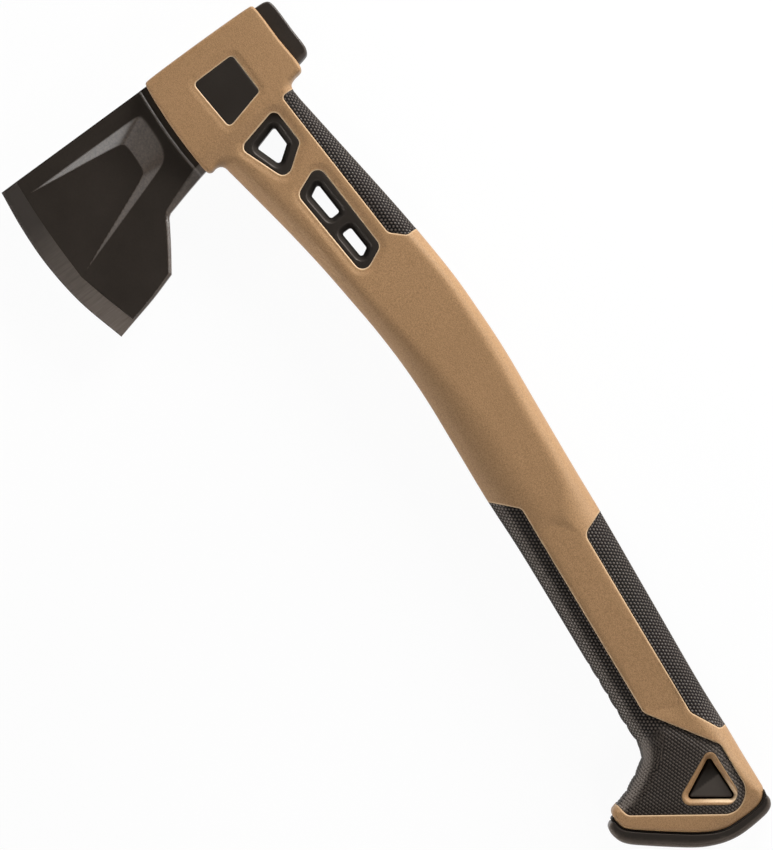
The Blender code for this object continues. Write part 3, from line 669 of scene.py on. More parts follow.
# %% Points round the shoulder
RUBBER_STEP = 0.4
SHOULDER_SAMPLES = 60
ROW_SHARE = 0.97
HOOK_BEND = (0.04, 0.12)
BEND_SPAN = 9
ALONG, HOLLOW = 3, 4

fine = curve(FRONT_LINE + BUTT_LINE + BACK_LINE, RUBBER_STEP)
lengths = np.hypot(*np.diff(fine[:, :2], axis=0).T)
run = np.gradient(fine[:, :2], axis=0)
bend = (np.gradient(Outline(fine).inward, axis=0) * run).sum(1) / (run**2).sum(1)
hollow = eased(np.convolve(bend, np.full(BEND_SPAN, 1 / BEND_SPAN), "same"), *HOOK_BEND)
rubber_edge = Outline(np.column_stack([fine, np.concatenate([[0], np.cumsum(lengths)]), hollow]))


def shoulder_rows(step):
    """Rows of points an even step apart round the section, from its edge to its flat side or crest."""
    turns = np.linspace(0, math.pi / 2, SHOULDER_SAMPLES)
    rows = []
    for index, (point, inward) in enumerate(zip(rubber_edge.points, rubber_edge.inward)):
        section = Section(rubber_edge, point[None, :2])
        pace = np.hypot(section.width * np.sin(turns), (section.half - section.band) * np.cos(turns))
        length = np.cumsum(pace) * turns[1]
        turn = np.interp(np.arange(step / (1 + index % 2), length[-1], step), length, turns)
        depth = section.width * (1 - np.cos(turn))
        rows.append(np.column_stack([point[:2] + inward * depth[:, None], depth]))
    rows = np.vstack(rows)
    return rows[rubber_edge.near(rows[:, :2])[0] > ROW_SHARE * rows[:, 2], :2]


rows_of_points = shoulder_rows(RUBBER_STEP)
print("shoulder of the rubber:", len(rows_of_points), "points")
print("finger hook:", int((hollow > 0.5).sum()), "points of the edge")

# %% [markdown]
# Treads step along the front edge towards the hook. Inside the hook the crowns run out, because scales from
# its two sides would meet askew. Along the silhouette there is no tan bed, so rows of points are carried
# round the edge to keep the scales going from one side of the tool to the other.

# %% Treads, hook and silhouette
TREAD_PITCH = 8.2
TREAD_DEPTH = 0.75
TREAD_REACH = 4
TREADS_START, TREADS_WHOLE = 306, 316
HOOK_CROWN = 0.6
HOOK_REACH = (1, 5)


def treads(section):
    """How deep the treads along the front edge have sunk."""
    along, x = section.value[:, ALONG], section.value[:, 0]
    shown = eased(x, TREADS_START, TREADS_WHOLE) * (section.value[:, 1] < 0)
    off_middle = 2 * ((along / TREAD_PITCH) % 1) - 1
    depth = TREAD_DEPTH * shown * (1 - np.sqrt(1 - off_middle**2))
    return depth * (1 - eased(section.distance, 0, TREAD_REACH))


def eased_in_hook(crown, section):
    """Crowns that run out in the tight finger hook, where scales from its two sides would meet askew."""
    hook = section.value[:, HOLLOW] * (1 - eased(section.distance, *HOOK_REACH))
    return crown + (HOOK_CROWN - crown) * hook


def wrapped(upper, faces, on_edge, rows):
    """A mirrored solid with extra rows of points round its silhouette."""
    count = len(upper)
    first = np.full(count, -1)
    first[on_edge] = 2 * count + np.arange(len(on_edge)) * rows.shape[1]
    points = np.vstack([upper, upper * [1, 1, -1], rows.reshape(-1, 3)])
    walls = []
    for a, b in rim(faces):
        left, right = [
            [end, *(range(first[end], first[end] + rows.shape[1]) if first[end] >= 0 else ()), end + count]
            for end in (a, b)
        ]
        if len(left) == len(right):
            walls += list(zip(right, left, left[1:], right[1:]))
        else:
            walls.append((*left, *right[::-1]))
    return points, [*faces.tolist(), *(faces[:, ::-1] + count).tolist(), *walls]


print("treads:", TREAD_PITCH, "mm apart and", TREAD_DEPTH, "mm deep")

# %% [markdown]
# The net of a rubber piece lies between the handle's edge and its seam, and is tucked a little under the
# tan bed. The rows along the silhouette carry the same scales, as if the pattern were rolled round the
# edge.

# %% Net and edge rows of a rubber piece
PANEL_STEP = 0.32
NET_GAP = 0.2
RUBBER_TUCK = 0.25
SCALE_DEPTH = 0.48
EDGE_ROWS = 14


def rubber_net(seam, low, high, hole):
    """A fine net between the handle's edge and a seam, and round a hole where there is one."""
    bed = Outline(grown(seam.points, RUBBER_TUCK))
    edges = [bed, hole] if hole else [bed]

    def inside(flat):
        kept = rubber_edge.holds(flat) & bed.holds(flat)
        return kept & ~hole.holds(flat) if hole else kept

    spots = grid(low, high, PANEL_STEP)
    depth, _, value = rubber_edge.near(spots)
    spots = np.vstack([spots[depth > value[:, 2] + NET_GAP], rows_of_points])
    spots = spots[np.all((spots > low) & (spots < high), axis=1)]
    spots = clear(spots[inside(spots)], edges, NET_GAP)
    return net([edge.points for edge in (rubber_edge, *edges)], spots, inside)


def edge_rows(section, fade, texture):
    """Rows of points round the silhouette, from one side of the tool to the other, and their crowns."""
    rows, crowns = [], []
    for share in np.linspace(1, -1, EDGE_ROWS + 1)[1:-1]:
        down = section.band * (1 - abs(share))
        laid_flat = section.unrolled() - section.inward * down[:, None]
        crowns.append(eased_in_hook(texture(laid_flat), section))
        sunk = fade * (SCALE_DEPTH * (1 - crowns[-1]) + treads(section))
        place = section.flat + section.inward * sunk[:, None]
        rows.append(lifted(place, section.band * share))
    return np.stack(rows, 1), np.stack(crowns, 1).ravel()


print("rows of points between the two sides:", EDGE_ROWS - 1)

# %% [markdown]
# One function makes every rubber piece. It takes the height from the section, sinks the grooves square to
# the surface and rolls the rim under. The points carry two numbers for the finish: which of them are
# crowns, and where the rubber is painted pale, partly rubbed by hands and partly a painted highlight.

# %% How a rubber piece is made
RUBBER_ROLL = 0.9
LIP_START, LIP = 0.2, 1.1
SINK_REACH = 6
ON_EDGE = 1e-3
PALE_EDGE_START, PALE_EDGE_END = (0.3, 1.6), (3.5, 6.5)
BUTT_PANEL = 355
BUTT_PALE = 0.32
PALE_CORNER, PALE_SPAN, PALE_RUN = (366, -14), (34, 30), 1.4


def rubbed_by_hands(section):
    """Paint: rubbing and painted highlight on the front edge, and a little towards the butt's corner."""
    rubbed = eased(section.distance, *PALE_EDGE_START) * (1 - eased(section.distance, *PALE_EDGE_END))
    towards_butt = ((section.flat - PALE_CORNER) / PALE_SPAN).sum(1)
    on_panel = BUTT_PALE * eased(towards_butt, 0, PALE_RUN) * (section.flat[:, 0] > BUTT_PANEL)
    return np.maximum(rubbed * (section.value[:, 1] < 0), on_panel)


def rubber(name, seam, texture, sink, low, high, hole=None):
    """A moulded rubber piece that sinks beside its seam, between the low and high corners of a rectangle."""
    flat, faces = rubber_net(seam, low, high, hole)
    section = Section(rubber_edge, flat)
    gap = seam.near(flat)[0]
    fade = eased(gap, LIP_START, LIP)
    if hole:
        fade *= eased(-hole.near(flat)[0], LIP_START, LIP)
    crown = eased_in_hook(texture(section.unrolled()), section)
    relief = fade * (SCALE_DEPTH * (1 - crown) + treads(section))
    upper = lifted(flat, section.height) - section.normal() * relief[:, None]
    upper[:, 2] -= rolled(gap + RUBBER_TUCK, RUBBER_ROLL)
    upper[:, 2] -= sink * (1 - eased(gap, 0, SINK_REACH)) * section.sine
    on_edge = np.flatnonzero(np.abs(section.distance) < ON_EDGE)
    rows, row_crowns = edge_rows(Section(rubber_edge, flat[on_edge]), fade[on_edge], texture)
    piece = made(name, *wrapped(upper, faces, on_edge, rows))
    carry(piece, "crown", np.concatenate([crown, crown, row_crowns]))
    # Pale paint: rubbing by hands and a painted highlight along the front edge.
    rubbed = rubbed_by_hands(section)
    carry(piece, "rubbed", np.concatenate([rubbed, rubbed, np.zeros(len(row_crowns))]))
    print(name, len(piece.data.polygons), "faces")
    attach(piece, "root")
    return piece


print("scales", SCALE_DEPTH, "mm deep, in rubber that dips beside its seams over", SINK_REACH, "mm")

# %% [markdown]
# Grips and neck pad
#
# Three pieces share that function: the pad behind the neck, the front grip with its panels on the butt, and
# the rear grip. The front grip leaves a hole for the tan ring round the snap lug.

# %% Rubber pieces
PAD_AREA = (16, 16), (103, 36)
FRONT_AREA = (212, -54), (407, 8)
REAR_AREA = (251, 2), (372, 27)
SHALLOW, DEEP = 0.4, 1.0

neck_rubber = rubber("neck_rubber", pad_seam, scales, SHALLOW, *PAD_AREA)
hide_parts("neck_pad")
front_rubber = rubber("front_rubber", front_seam, front_texture, DEEP, *FRONT_AREA, ring_edge)
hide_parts("front_grip")
rear_rubber = rubber("rear_rubber", rear_seam, scales, SHALLOW, *REAR_AREA)
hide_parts("rear_grip")

# %% [markdown]
# Ring round the snap lug
#
# A tan triangle frames the window that the butt plug snaps into. On the real handle it is part of the same
# nylon, showing through the rubber. It is made as a ring of its own, because its profile differs from the
# plain section: a narrow flat rim with a rolled outer edge, and then a steep wall down into the window.

# %% Ring
RING_TOP = 16.0
RING_ROLL = 0.6
RING_WALL = 1.8
RING_SLOPE = 1.4
RING_BEND = 0.25
RING_TUCK = 0.2
RIM_GAP = 0.1
WINDOW_STEP = 0.4
RIM_RINGS = (0, 0.12, 0.3, 0.55, 0.85)
WALL_RINGS = (-0.15, -0.5, -0.9, -1.2, -1.5, -1.7, -1.85, -2, -2.2)
WALL_FOOT = 1.2
WALL_HIGHLIGHT = 0.9
WALL_HIGHLIGHT_START, WALL_HIGHLIGHT_WHOLE = 386, 400

window_edge = Outline(rounded(LUG_WINDOW, WINDOW_STEP))
ring_outer = Outline(grown(ring_edge.points, RING_TUCK))


def in_ring(flat):
    """Which points lie between the ring's two outlines."""
    return ring_outer.holds(flat) & ~window_edge.holds(flat)


seeds = np.vstack([ring_edge.inset(RIM_RINGS), window_edge.inset(WALL_RINGS)])
seeds = clear(seeds[in_ring(seeds)], [ring_outer, window_edge], RIM_GAP)
flat, faces = net([ring_outer.points, window_edge.points], seeds, in_ring)
to_window = np.abs(window_edge.near(flat)[0])
height = RING_TOP - rolled(ring_outer.near(flat)[0], RING_ROLL)
height -= RING_SLOPE * softly_above(RING_WALL - to_window, RING_BEND)
tan_ring = made("lug_window_ring", *mirrored(flat, height, faces))
# The window's wall towards the butt is painted pale as a highlight, where light falls into the window.
wall = 1 - eased(to_window, WALL_FOOT, RING_WALL)
wall_highlight = WALL_HIGHLIGHT * wall * eased(flat[:, 0], WALL_HIGHLIGHT_START, WALL_HIGHLIGHT_WHOLE)
carry(tan_ring, "worn", np.tile(wall_highlight, 2))
print("ring:", len(tan_ring.data.polygons), "faces")
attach(tan_ring, "root")

# %% [markdown]
# Lashing liners
#
# Two black liners fill the windows in the neck, so that cord tied through them doesn't chafe. Each is a
# flat flange with a steep funnel into its slots. The funnel is a slope that starts at a soft crease, which
# a smooth maximum of two planes gives without any extra modelling.

# %% Liners
FLANGE_FACE = 11.9
FUNNEL_WIDTH = 2.5
FUNNEL_SLOPE = 1.7
CREASE = 0.35
LINER_TUCK = 0.25
LINER_ROLL = 0.8
FLANGE_GRID, FUNNEL_GAP = 1.3, 3.6
FLANGE_RINGS = (0.12, 0.3, 0.6, 1.0)
FUNNEL_RINGS = (-0.3, -0.8, -1.3, -1.8, -2.1, -2.3, -2.5, -2.7, -2.9, -3.2)


def liner(name, window, slots):
    """A liner in a window of the neck, with a funnel into each of its slots."""
    outer = Outline(grown(window.points, LINER_TUCK))
    holes = [Outline(rounded(slot, WINDOW_STEP)) for slot in slots]

    def inside(flat):
        return outer.holds(flat) & ~np.any([hole.holds(flat) for hole in holes], axis=0)

    spots = [outer.inset(FLANGE_RINGS), *(hole.inset(FUNNEL_RINGS) for hole in holes)]
    low, high = outer.points.min(0), outer.points.max(0)
    spots.append(clear(grid(low, high, FLANGE_GRID), holes, FUNNEL_GAP))
    spots = np.vstack(spots)
    spots = clear(spots[inside(spots)], [outer], RIM_GAP)
    flat, faces = net([outer.points, *(hole.points for hole in holes)], spots, inside)
    height = FLANGE_FACE - rolled(outer.near(flat)[0], LINER_ROLL)
    for hole in holes:
        height -= FUNNEL_SLOPE * softly_above(FUNNEL_WIDTH - np.abs(hole.near(flat)[0]), CREASE)
    piece = made(name, *mirrored(flat, height, faces))
    print(name, len(piece.data.polygons), "faces")
    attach(piece, "root")
    return piece


upper_liner = liner("upper_liner", upper_window, [UPPER_SLOT])
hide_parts("upper_lashing_liner")
lower_liner = liner("lower_liner", lower_window, LOWER_SLOTS)
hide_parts("lower_lashing_liner")

# %% [markdown]
# Collar inserts
#
# A black insert sits in a window on each side of the collar. Both are the same thin plate with a rolled
# edge, left bare, so one net serves twice: the right one is the left one turned over.

# %% Collar inserts
INSERT_FACE = 15.35
INSERT_BACK = 13.0
INSERT_ROLL = 0.8
INSERT_AREA = (-13, -12), (15, 12)
INSERT_GRID, INSERT_GAP = 1.5, 1.6
INSERT_RINGS = (0.1, 0.25, 0.5, 0.8, 1.1)


def filled(edge, seeds):
    """A net over the whole of one outline."""
    return net([edge.points], seeds[edge.holds(seeds)], edge.holds)


outer = Outline(grown(badge_window.points, LINER_TUCK))
plate_grid = clear(grid(*INSERT_AREA, INSERT_GRID), [outer], INSERT_GAP)
flat, faces = filled(outer, np.vstack([outer.inset(INSERT_RINGS), plate_grid]))
face = lifted(flat, INSERT_FACE - rolled(outer.near(flat)[0], INSERT_ROLL))
plate, plate_faces = walled(face, lifted(flat, INSERT_BACK), faces)
left_insert = made("left_insert", plate, plate_faces)
turned_over = [corners[::-1] for corners in plate_faces]
right_insert = made("right_insert", plate * [1, 1, -1], turned_over)
for piece, node in ((left_insert, "left_badge"), (right_insert, "right_badge")):
    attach(piece, "root")
    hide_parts(node)
print("collar inserts:", len(left_insert.data.polygons), "faces each")

# %% [markdown]
# Head
#
# The head is one forging with flat facets and crisp lines: wedge-shaped cheeks with a sunk panel, a ground
# edge, a chamfered beard and a hammer poll. Lines that stay crisp are drawn into the net, so that its edges
# run along them.

# %% Blade lines
TOP_EDGE = -23.5
BLADE_STEP = 0.8
BEARD_STEP = 0.5


def blade_line(*points, step=BLADE_STEP):
    """A smooth open line on the blade."""
    return curve(points, step, False)


def beside(line, distance):
    """An open line moved to its right."""
    run = np.gradient(line[:, :2], axis=0)
    run /= np.hypot(*run.T)[:, None]
    return line[:, :2] + distance * np.stack([run[:, 1], -run[:, 0]], 1)


edge_line = blade_line((TOP_EDGE, -112), (-5, -114.1), (15, -114.7), (38, -112.4), (62.5, -106.3))
grind_line = np.vstack([
    blade_line((TOP_EDGE, -103.6), (-5, -104.8), (10, -105.2), (29.6, -105)),
    blade_line((29.6, -105), (45, -101.2), (60.2, -96.9))[1:],
])
heel_line = blade_line((62.5, -106.3), (60.2, -96.9), (57, -83.8), (53, -70.8))
beard_line = np.vstack([
    blade_line((53, -70.8), (42, -63.2), (33.5, -57.7)),
    blade_line((33.5, -57.7), (31.2, -56.2), (30, -54.6), step=BEARD_STEP)[1:],
    blade_line((30, -54.6), (27, -43), (24.4, -32), (23.6, -27.5))[1:],
])
side_line = np.vstack([heel_line, beard_line[1:]])
step_line = blade_line((TOP_EDGE, -33.9), (-10, -34.8), (2, -35.1), (12, -34.9), (19.2, -34.3), (26, -33.5))
bevel_area = Outline(np.vstack([edge_line, grind_line[::-1]]))
print("cutting edge:", round(float(np.hypot(*np.diff(edge_line, axis=0).T).sum())), "mm long")

# %% [markdown]
# Each facet is a plane, so the surface is the lowest of several planes, and a soft minimum rounds the lines
# between them as forging and coating do. The sunk panel has a floor that meets the ground edge and four
# walls: a steep one on each side, a long easy one towards the collar, and a short one across the corner on
# the beard's side. A wall is a place on the rim, the way in, and a slope. A chamfer is a place along the
# blade, its drop and its width.

# %% Blade planes
GRIND_HALF = 2.6
CHEEK_HALF = 8.6
CHEEK_TOP_Y, GRIND_Y = -34.4, -104.9
PANEL_WALLS = [
    (-15.7, -60, 0, 0.46), (0, -37.9, -90, 0.212), (8.6, -40.9, -127, 0.36), (10.4, -44.5, -162.3, 0.626),
]
PANEL_FLOOR = [(-104.6, 2.62), (-53, 4.0)]
RIM_SOFTNESS = 0.13
WALL_SOFTNESS = 0.8
DENSE_STEP = 0.1
CHAMFER = [
    (-110, 0.5, 1.0), (-97, 0.7, 1.1), (-72, 1.2, 1.5), (-58, 1.3, 1.7), (-54, 2.3, 2.5), (-35, 4.2, 4.8),
    (-27, 4.2, 4.6),
]


def away_from(line, flat):
    """The distance to an open line."""
    dense = spread(np.asarray(line)[:, :2], DENSE_STEP, False)
    tree = KDTree(len(dense))
    for index, (x, y) in enumerate(dense):
        tree.insert((x, y, 0), index)
    tree.balance()
    return np.array([tree.find((x, y, 0))[2] for x, y in flat])


def cheek(y):
    """The height of the wedge-shaped cheek."""
    return np.interp(y, [GRIND_Y, CHEEK_TOP_Y], [GRIND_HALF, CHEEK_HALF])


def panel_floor(y):
    """The height of the sunk panel's floor."""
    return np.interp(y, *np.array(PANEL_FLOOR).T)


def chamfer_at(y):
    """How far the side chamfer drops, and how wide it is."""
    places, drops, widths = np.array(CHAMFER).T
    return np.interp(y, places, drops), np.interp(y, places, widths)


def panel_sink(flat):
    """How deep the walls of the panel would reach, if there were no floor."""
    least = None
    for x, y, angle, slope in PANEL_WALLS:
        way = np.array([math.cos(math.radians(angle)), math.sin(math.radians(angle))])
        depth = slope * ((flat - [x, y]) @ way)
        least = depth if least is None else softly_least(least, depth, WALL_SOFTNESS)
    return softly_above(least, RIM_SOFTNESS)


print("thickness of the cheek, from edge to collar:", 2 * cheek(np.array([GRIND_Y, CHEEK_TOP_Y])), "mm")

# %% [markdown]
# Now the planes are put together: cheek or panel, the step in front of the collar, the chamfer down the
# heel and beard, and the ground bevel. Walls and chamfers keep the rough skin of the forging, and they and
# the step get a painted highlight where light catches their slopes, so the points there also carry a number
# that says so.

# %% Height of the blade
EDGE_HALF = 0.2
SHOULDER_STEP = 1.6
STEP_BAND = 1.1
LINE_BEND, STEP_BEND = 0.06, 0.1
STEP_HIGHLIGHT = 0.45
SKIN_END = -35
WALL_SKIN, FLOOR_SKIN, CHAMFER_SKIN = (0.05, 0.3), (0, 0.12), (0, 0.1)
STEP_FOOT_BAND, STEP_TOP_BAND = (0, 0.2), (STEP_BAND, STEP_BAND + 0.4)


def above_step(flat):
    """How far points lie above the foot of the step in front of the collar."""
    return flat[:, 1] - np.interp(flat[:, 0], *step_line.T)


def blade_height(flat):
    """The height of the blade at points of the drawing."""
    y = flat[:, 1]
    height = np.maximum(cheek(y) - panel_sink(flat), np.minimum(panel_floor(y), cheek(y)))
    risen = softly_above(above_step(flat) / STEP_BAND, LINE_BEND)
    height += SHOULDER_STEP * (1 - softly_above(1 - risen, STEP_BEND))
    drop, width = chamfer_at(y)
    height -= drop * softly_above(1 - away_from(side_line, flat) / width, LINE_BEND)
    to_edge, to_grind = away_from(edge_line, flat), away_from(grind_line, flat)
    ground = EDGE_HALF + (GRIND_HALF - EDGE_HALF) * to_edge / (to_edge + to_grind)
    return np.where(bevel_area.near(flat)[0] > -CLOSE, np.minimum(height, ground), height)


def forged(flat):
    """Forged skin and painted highlight: 1 on walls and chamfers, less on the step, 0 on the smooth faces.
    """
    y = flat[:, 1]
    sink = panel_sink(flat)
    above_floor = cheek(y) - sink - panel_floor(y)
    wall = eased(sink, *WALL_SKIN) * eased(above_floor, *FLOOR_SKIN) * (y < SKIN_END)
    chamfer = eased(1 - away_from(side_line, flat) / chamfer_at(y)[1], *CHAMFER_SKIN)
    rise = above_step(flat)
    # The step's band is a painted highlight.
    step = STEP_HIGHLIGHT * eased(rise, *STEP_FOOT_BAND) * (1 - eased(rise, *STEP_TOP_BAND))
    return np.maximum(np.maximum(wall, chamfer), step)


middle_of_panel = blade_height(np.array([[0.0, -80.0]]))[0]
print("thickness in the middle of the panel:", round(2 * float(middle_of_panel), 2), "mm")

# %% [markdown]
# The poll is a block with softly rounded edges, so its height comes from its distance to the outline, as
# the handle's does. Blade, poll and the waist between them, which the collar hides, are spanned by one net,
# because the real head is one piece of steel.

# %% Outline of the head
POLL_LINE = [
    (9.6, 29.5, 2.8), (9.3, 33, 2.8), (8.7, 36.4, 2.6), (7.7, 38.9, 1.8), (5.6, 40.15, 1.2), (-5, 40.1, 0.9),
    (-19.8, 39.7, 0.9), (-21.9, 38.9, 0.9), (-22.9, 37, 0.8), (-23.2, 33, 0.7), (-23.2, 29.5, 0.7),
]
POLL_FOOT = [(-23.2, 29, 0.7), (9.6, 29, 2.8)]
POLL_STEP = 0.4
WAIST = [(14, -22), (14, 24)]
WAIST_STEP = 2.0

poll_line = curve(POLL_LINE, POLL_STEP, False)
poll_edge = Outline(np.vstack([poll_line, spread(np.array(POLL_FOOT), POLL_STEP, False)]))
top_line = spread(np.array([(TOP_EDGE, -27.5), (TOP_EDGE, -112)]), BLADE_STEP, False)
waist = np.array(WAIST, float)
head_outline = Outline(
    np.vstack([
        top_line[:-1],
        edge_line[:-1],
        side_line,
        spread(waist, WAIST_STEP, False),
        poll_line[:, :2],
        spread(waist * [-1, 1], WAIST_STEP, False)[::-1],
    ])
)
print("the head's outline:", len(head_outline.points), "points")

# %% [markdown]
# The net's points stand close where the steel bends: on the poll's rounded edges, on the panel's walls,
# beside the crisp lines and along the chamfers. The flat cheeks need few.

# %% Points for the head
BLADE_END, POLL_START = -27, 29
POLL_RINGS = (0.03, 0.1, 0.2, 0.34, 0.52, 0.72, 0.95, 1.2, 1.5, 1.8, 2.1, 2.4, 2.8)
STEP_ROWS = (0.15, 0.5, 1.0, 1.35, 1.5, 1.65, 1.9)
CHAMFER_ROWS = (-0.3, 0, 0.3)
CRISP_SIDES = (-0.35, 0.35)
HEAD_RINGS = (0.1, 0.3)
WALL_AREA = (-17, -105), (31, -36)
CHEEK_AREA = (-23, -114), (62, -28)
POLL_AREA = (-22, 30), (9, 39)
WALL_GRID, CHEEK_GRID, POLL_GRID = 0.45, 1.4, 1.5
POLL_GAP, GRIND_GAP, INNER_GAP = 2.2, 0.2, 0.05
POLL_SHOWN = 29.7
WALL_TOP, WALL_FLOOR = 0.02, -0.4

poll_grid = clear(grid(*POLL_AREA, POLL_GRID), [poll_edge], POLL_GAP)
poll_seeds = np.vstack([poll_edge.inset(POLL_RINGS), poll_grid])
poll_seeds = poll_seeds[poll_edge.holds(poll_seeds) & (poll_seeds[:, 1] > POLL_SHOWN)]
walls = grid(*WALL_AREA, WALL_GRID)
walls = walls[(away_from(grind_line, walls) > GRIND_GAP) & ~bevel_area.holds(walls)]
walls = walls[panel_sink(walls) > WALL_TOP]
walls = walls[cheek(walls[:, 1]) - panel_sink(walls) - panel_floor(walls[:, 1]) > WALL_FLOOR]
cheeks = grid(*CHEEK_AREA, CHEEK_GRID)
crisp = np.vstack([beside(line, side) for line in (grind_line, step_line) for side in CRISP_SIDES])
band = np.vstack([step_line + [0, rise] for rise in STEP_ROWS])
side_way = beside(side_line, -1) - side_line
side_width = chamfer_at(side_line[:, 1])[1]
chamfers = np.vstack([side_line + side_way * (side_width + more)[:, None] for more in CHAMFER_ROWS])
rims = head_outline.inset(HEAD_RINGS)
rims = rims[rims[:, 1] < BLADE_END]
head_seeds = np.vstack([poll_seeds, walls, cheeks, crisp, band, chamfers, rims])
head_seeds = head_seeds[head_outline.near(head_seeds)[0] > INNER_GAP]
print("head:", len(head_seeds), "points, of which", len(walls), "are on the panel's walls")

# %% [markdown]
# Blade, poll and waist get their heights, the blade's outline gets a small rolled edge, and lines that turn
# by more than 40 degrees are shaded sharp.

# %% Head
POLL_HALF = 12.5
WAIST_HALF = 10.2
CREASE_ROLL, CREASE_SHARE = 0.3, 0.5
SHARP_ANGLE = math.radians(40)
POLL_HIGHLIGHT = 0.42
POLL_HIGHLIGHT_BAND = (0.5, 1.2)

flat, faces = net([head_outline.points], head_seeds, head_outline.holds, [grind_line, step_line])
on_blade, on_poll = flat[:, 1] < BLADE_END, flat[:, 1] > POLL_START
poll = Section(poll_edge, flat[on_poll], POLL_HALF)
height = np.full(len(flat), WAIST_HALF)
height[on_blade] = blade_height(flat[on_blade])
height[on_poll] = poll.height
edge_drop = np.minimum(rolled(np.maximum(head_outline.near(flat)[0], 0), CREASE_ROLL), CREASE_SHARE * height)
head = made("axe_head_dressed", *mirrored(flat, height - edge_drop * on_blade, faces))
head.data.set_sharp_from_angle(angle=SHARP_ANGLE)
skin_and_highlight = np.zeros(len(flat))
skin_and_highlight[on_blade] = forged(flat[on_blade])
# The poll's rounded edges get a painted highlight.
skin_and_highlight[on_poll] = POLL_HIGHLIGHT * (1 - eased(poll.distance / poll.width, *POLL_HIGHLIGHT_BAND))
carry(head, "forged", np.tile(skin_and_highlight, 2))
print("head:", len(head.data.polygons), "faces")
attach(head, "root")
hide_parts("axe_head")

# %% [markdown]
# Butt plug
#
# The hollow handle is closed by a nylon plug. What shows of it is a thin flange between the tan butt and
# the rubber foot, and a snap lug in each triangular window. The lug's face slopes away towards the head, so
# that it could slide in under the window's edge and then catch behind it.

# %% Snap lug and its base
LUG_GAP = 0.9
LUG_FACE = 14.3
LUG_CREASE = 386.0
LUG_RAMP = 0.42
LUG_BEND = 0.5
LUG_ROLL = 0.6
LUG_RINGS = (0.1, 0.25, 0.5, 0.8)
BASE_HALF = 9.0
BASE_TUCK = 0.3
BASE_AREA = (380, -8), (390, -6)
BASE_GRID = 3.0
LUG_AREA = (374, -22), (402, 1)
LUG_GRID, LUG_GRID_GAP = 0.9, 1.1

lug_edge = Outline(grown(window_edge.points, -LUG_GAP))
lug_grid = clear(grid(*LUG_AREA, LUG_GRID), [lug_edge], LUG_GRID_GAP)
flat, faces = filled(lug_edge, np.vstack([lug_edge.inset(LUG_RINGS), lug_grid]))
ramp = LUG_RAMP * softly_above(LUG_CREASE - flat[:, 0], LUG_BEND)
lug = mirrored(flat, LUG_FACE - ramp - rolled(lug_edge.near(flat)[0], LUG_ROLL), faces)
base_edge = Outline(grown(window_edge.points, BASE_TUCK))
flat, faces = filled(base_edge, grid(*BASE_AREA, BASE_GRID))
base = mirrored(flat, BASE_HALF, faces)
print("snap lug:", len(lug[1]), "faces on a base of", len(base[1]))

# %% [markdown]
# The flange follows the butt's end. Its two long sides are the same line, moved out by a hair and by the
# flange's thickness, and a small step closes it at each tip. Lug, base and flange then become one piece.

# %% Flange and whole plug
FLANGE_HALF = 14.4
FLANGE_THICKNESS = 1.6
FLANGE_ROLL = 0.35
FLANGE_GAP = 0.1
TIP_RINGS = (0.12, 0.3)
BUTT_STEP = 0.6
LOWER_TIP = [(373.7, -52.6)]
UPPER_TIP = [(404.5, 9.6), (404.2, 10.4), (406.5, 9.9)]
OUTER_TIP = [(374.0, -54.0)]
LUG_HIGHLIGHT_BLEND = 0.4


def joined(*solids):
    """Several closed solids as one list of points and one of faces."""
    points, faces = [], []
    for corners, sides in solids:
        first = sum(map(len, points))
        points.append(corners)
        faces += [[first + index for index in side] for side in sides]
    return np.vstack(points), faces


butt_points = [(374.4, -53.1), *(point[:2] for point in BUTT_LINE[2:-2]), (407.2, 6.6), (405.6, 8.8)]
butt_end = curve(butt_points, BUTT_STEP, False)
flange_sides = [beside(butt_end, FLANGE_GAP), UPPER_TIP, beside(butt_end, FLANGE_THICKNESS)[::-1]]
flange_edge = Outline(np.vstack([LOWER_TIP, *flange_sides, OUTER_TIP]))
flat, faces = filled(flange_edge, flange_edge.inset(TIP_RINGS))
flange = mirrored(flat, FLANGE_HALF - rolled(flange_edge.near(flat)[0], FLANGE_ROLL), faces)
plug = made("butt_plug_dressed", *joined(lug, base, flange))
# The lug's flat half carries a painted highlight, lighter than its ramp.
lug_facet_highlight = np.zeros(len(plug.data.vertices))
lug_facet_highlight[: len(lug[0])] = eased(lug[0][:, 0], LUG_CREASE - LUG_HIGHLIGHT_BLEND, LUG_CREASE + LUG_HIGHLIGHT_BLEND)
carry(plug, "scuffed", lug_facet_highlight)
print("butt plug:", len(plug.data.polygons), "faces")
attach(plug, "root")
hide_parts("butt_plug")

# %% [markdown]
# Rubber foot
#
# A thick black foot wraps the butt's end and takes the knocks. It has a flat side and a wide rounded outer
# edge, while its inner edge follows the flange closely. One outline with two shoulder widths gives both.

# %% Rubber foot
FOOT_HALF = 15.5
FOOT_GAP = 1.0
FOOT_OUTER = [
    (407.6, 10.1, 1.2), (409.5, 9.9, 1.8), (412, 8.4, 2.4), (413.5, 5.5, 2.6), (414.3, 0, 2.6),
    (414.7, -7, 2.6), (414.5, -12, 2.6), (413.3, -18, 2.6), (410.5, -25, 2.6), (407, -31, 2.6),
    (392, -50, 2.6), (388, -54.5, 2.6), (385, -56.8, 2.6), (381.5, -58, 2.4), (378, -58.2, 2),
    (376, -57.2, 1.6), (375, -55.5, 1.2),
]
FOOT_INNER_WIDTH, FOOT_OUTER_LEAST = 0.6, 1
FOOT_STEP = 0.6
FOOT_TURNS = 10
FOOT_AREA = (372, -60), (416, 12)
FOOT_GRID, FOOT_GRID_GAP = 1.2, 0.9
FOOT_PALE, FOOT_LEAST_PALE = 1.3, 0.2

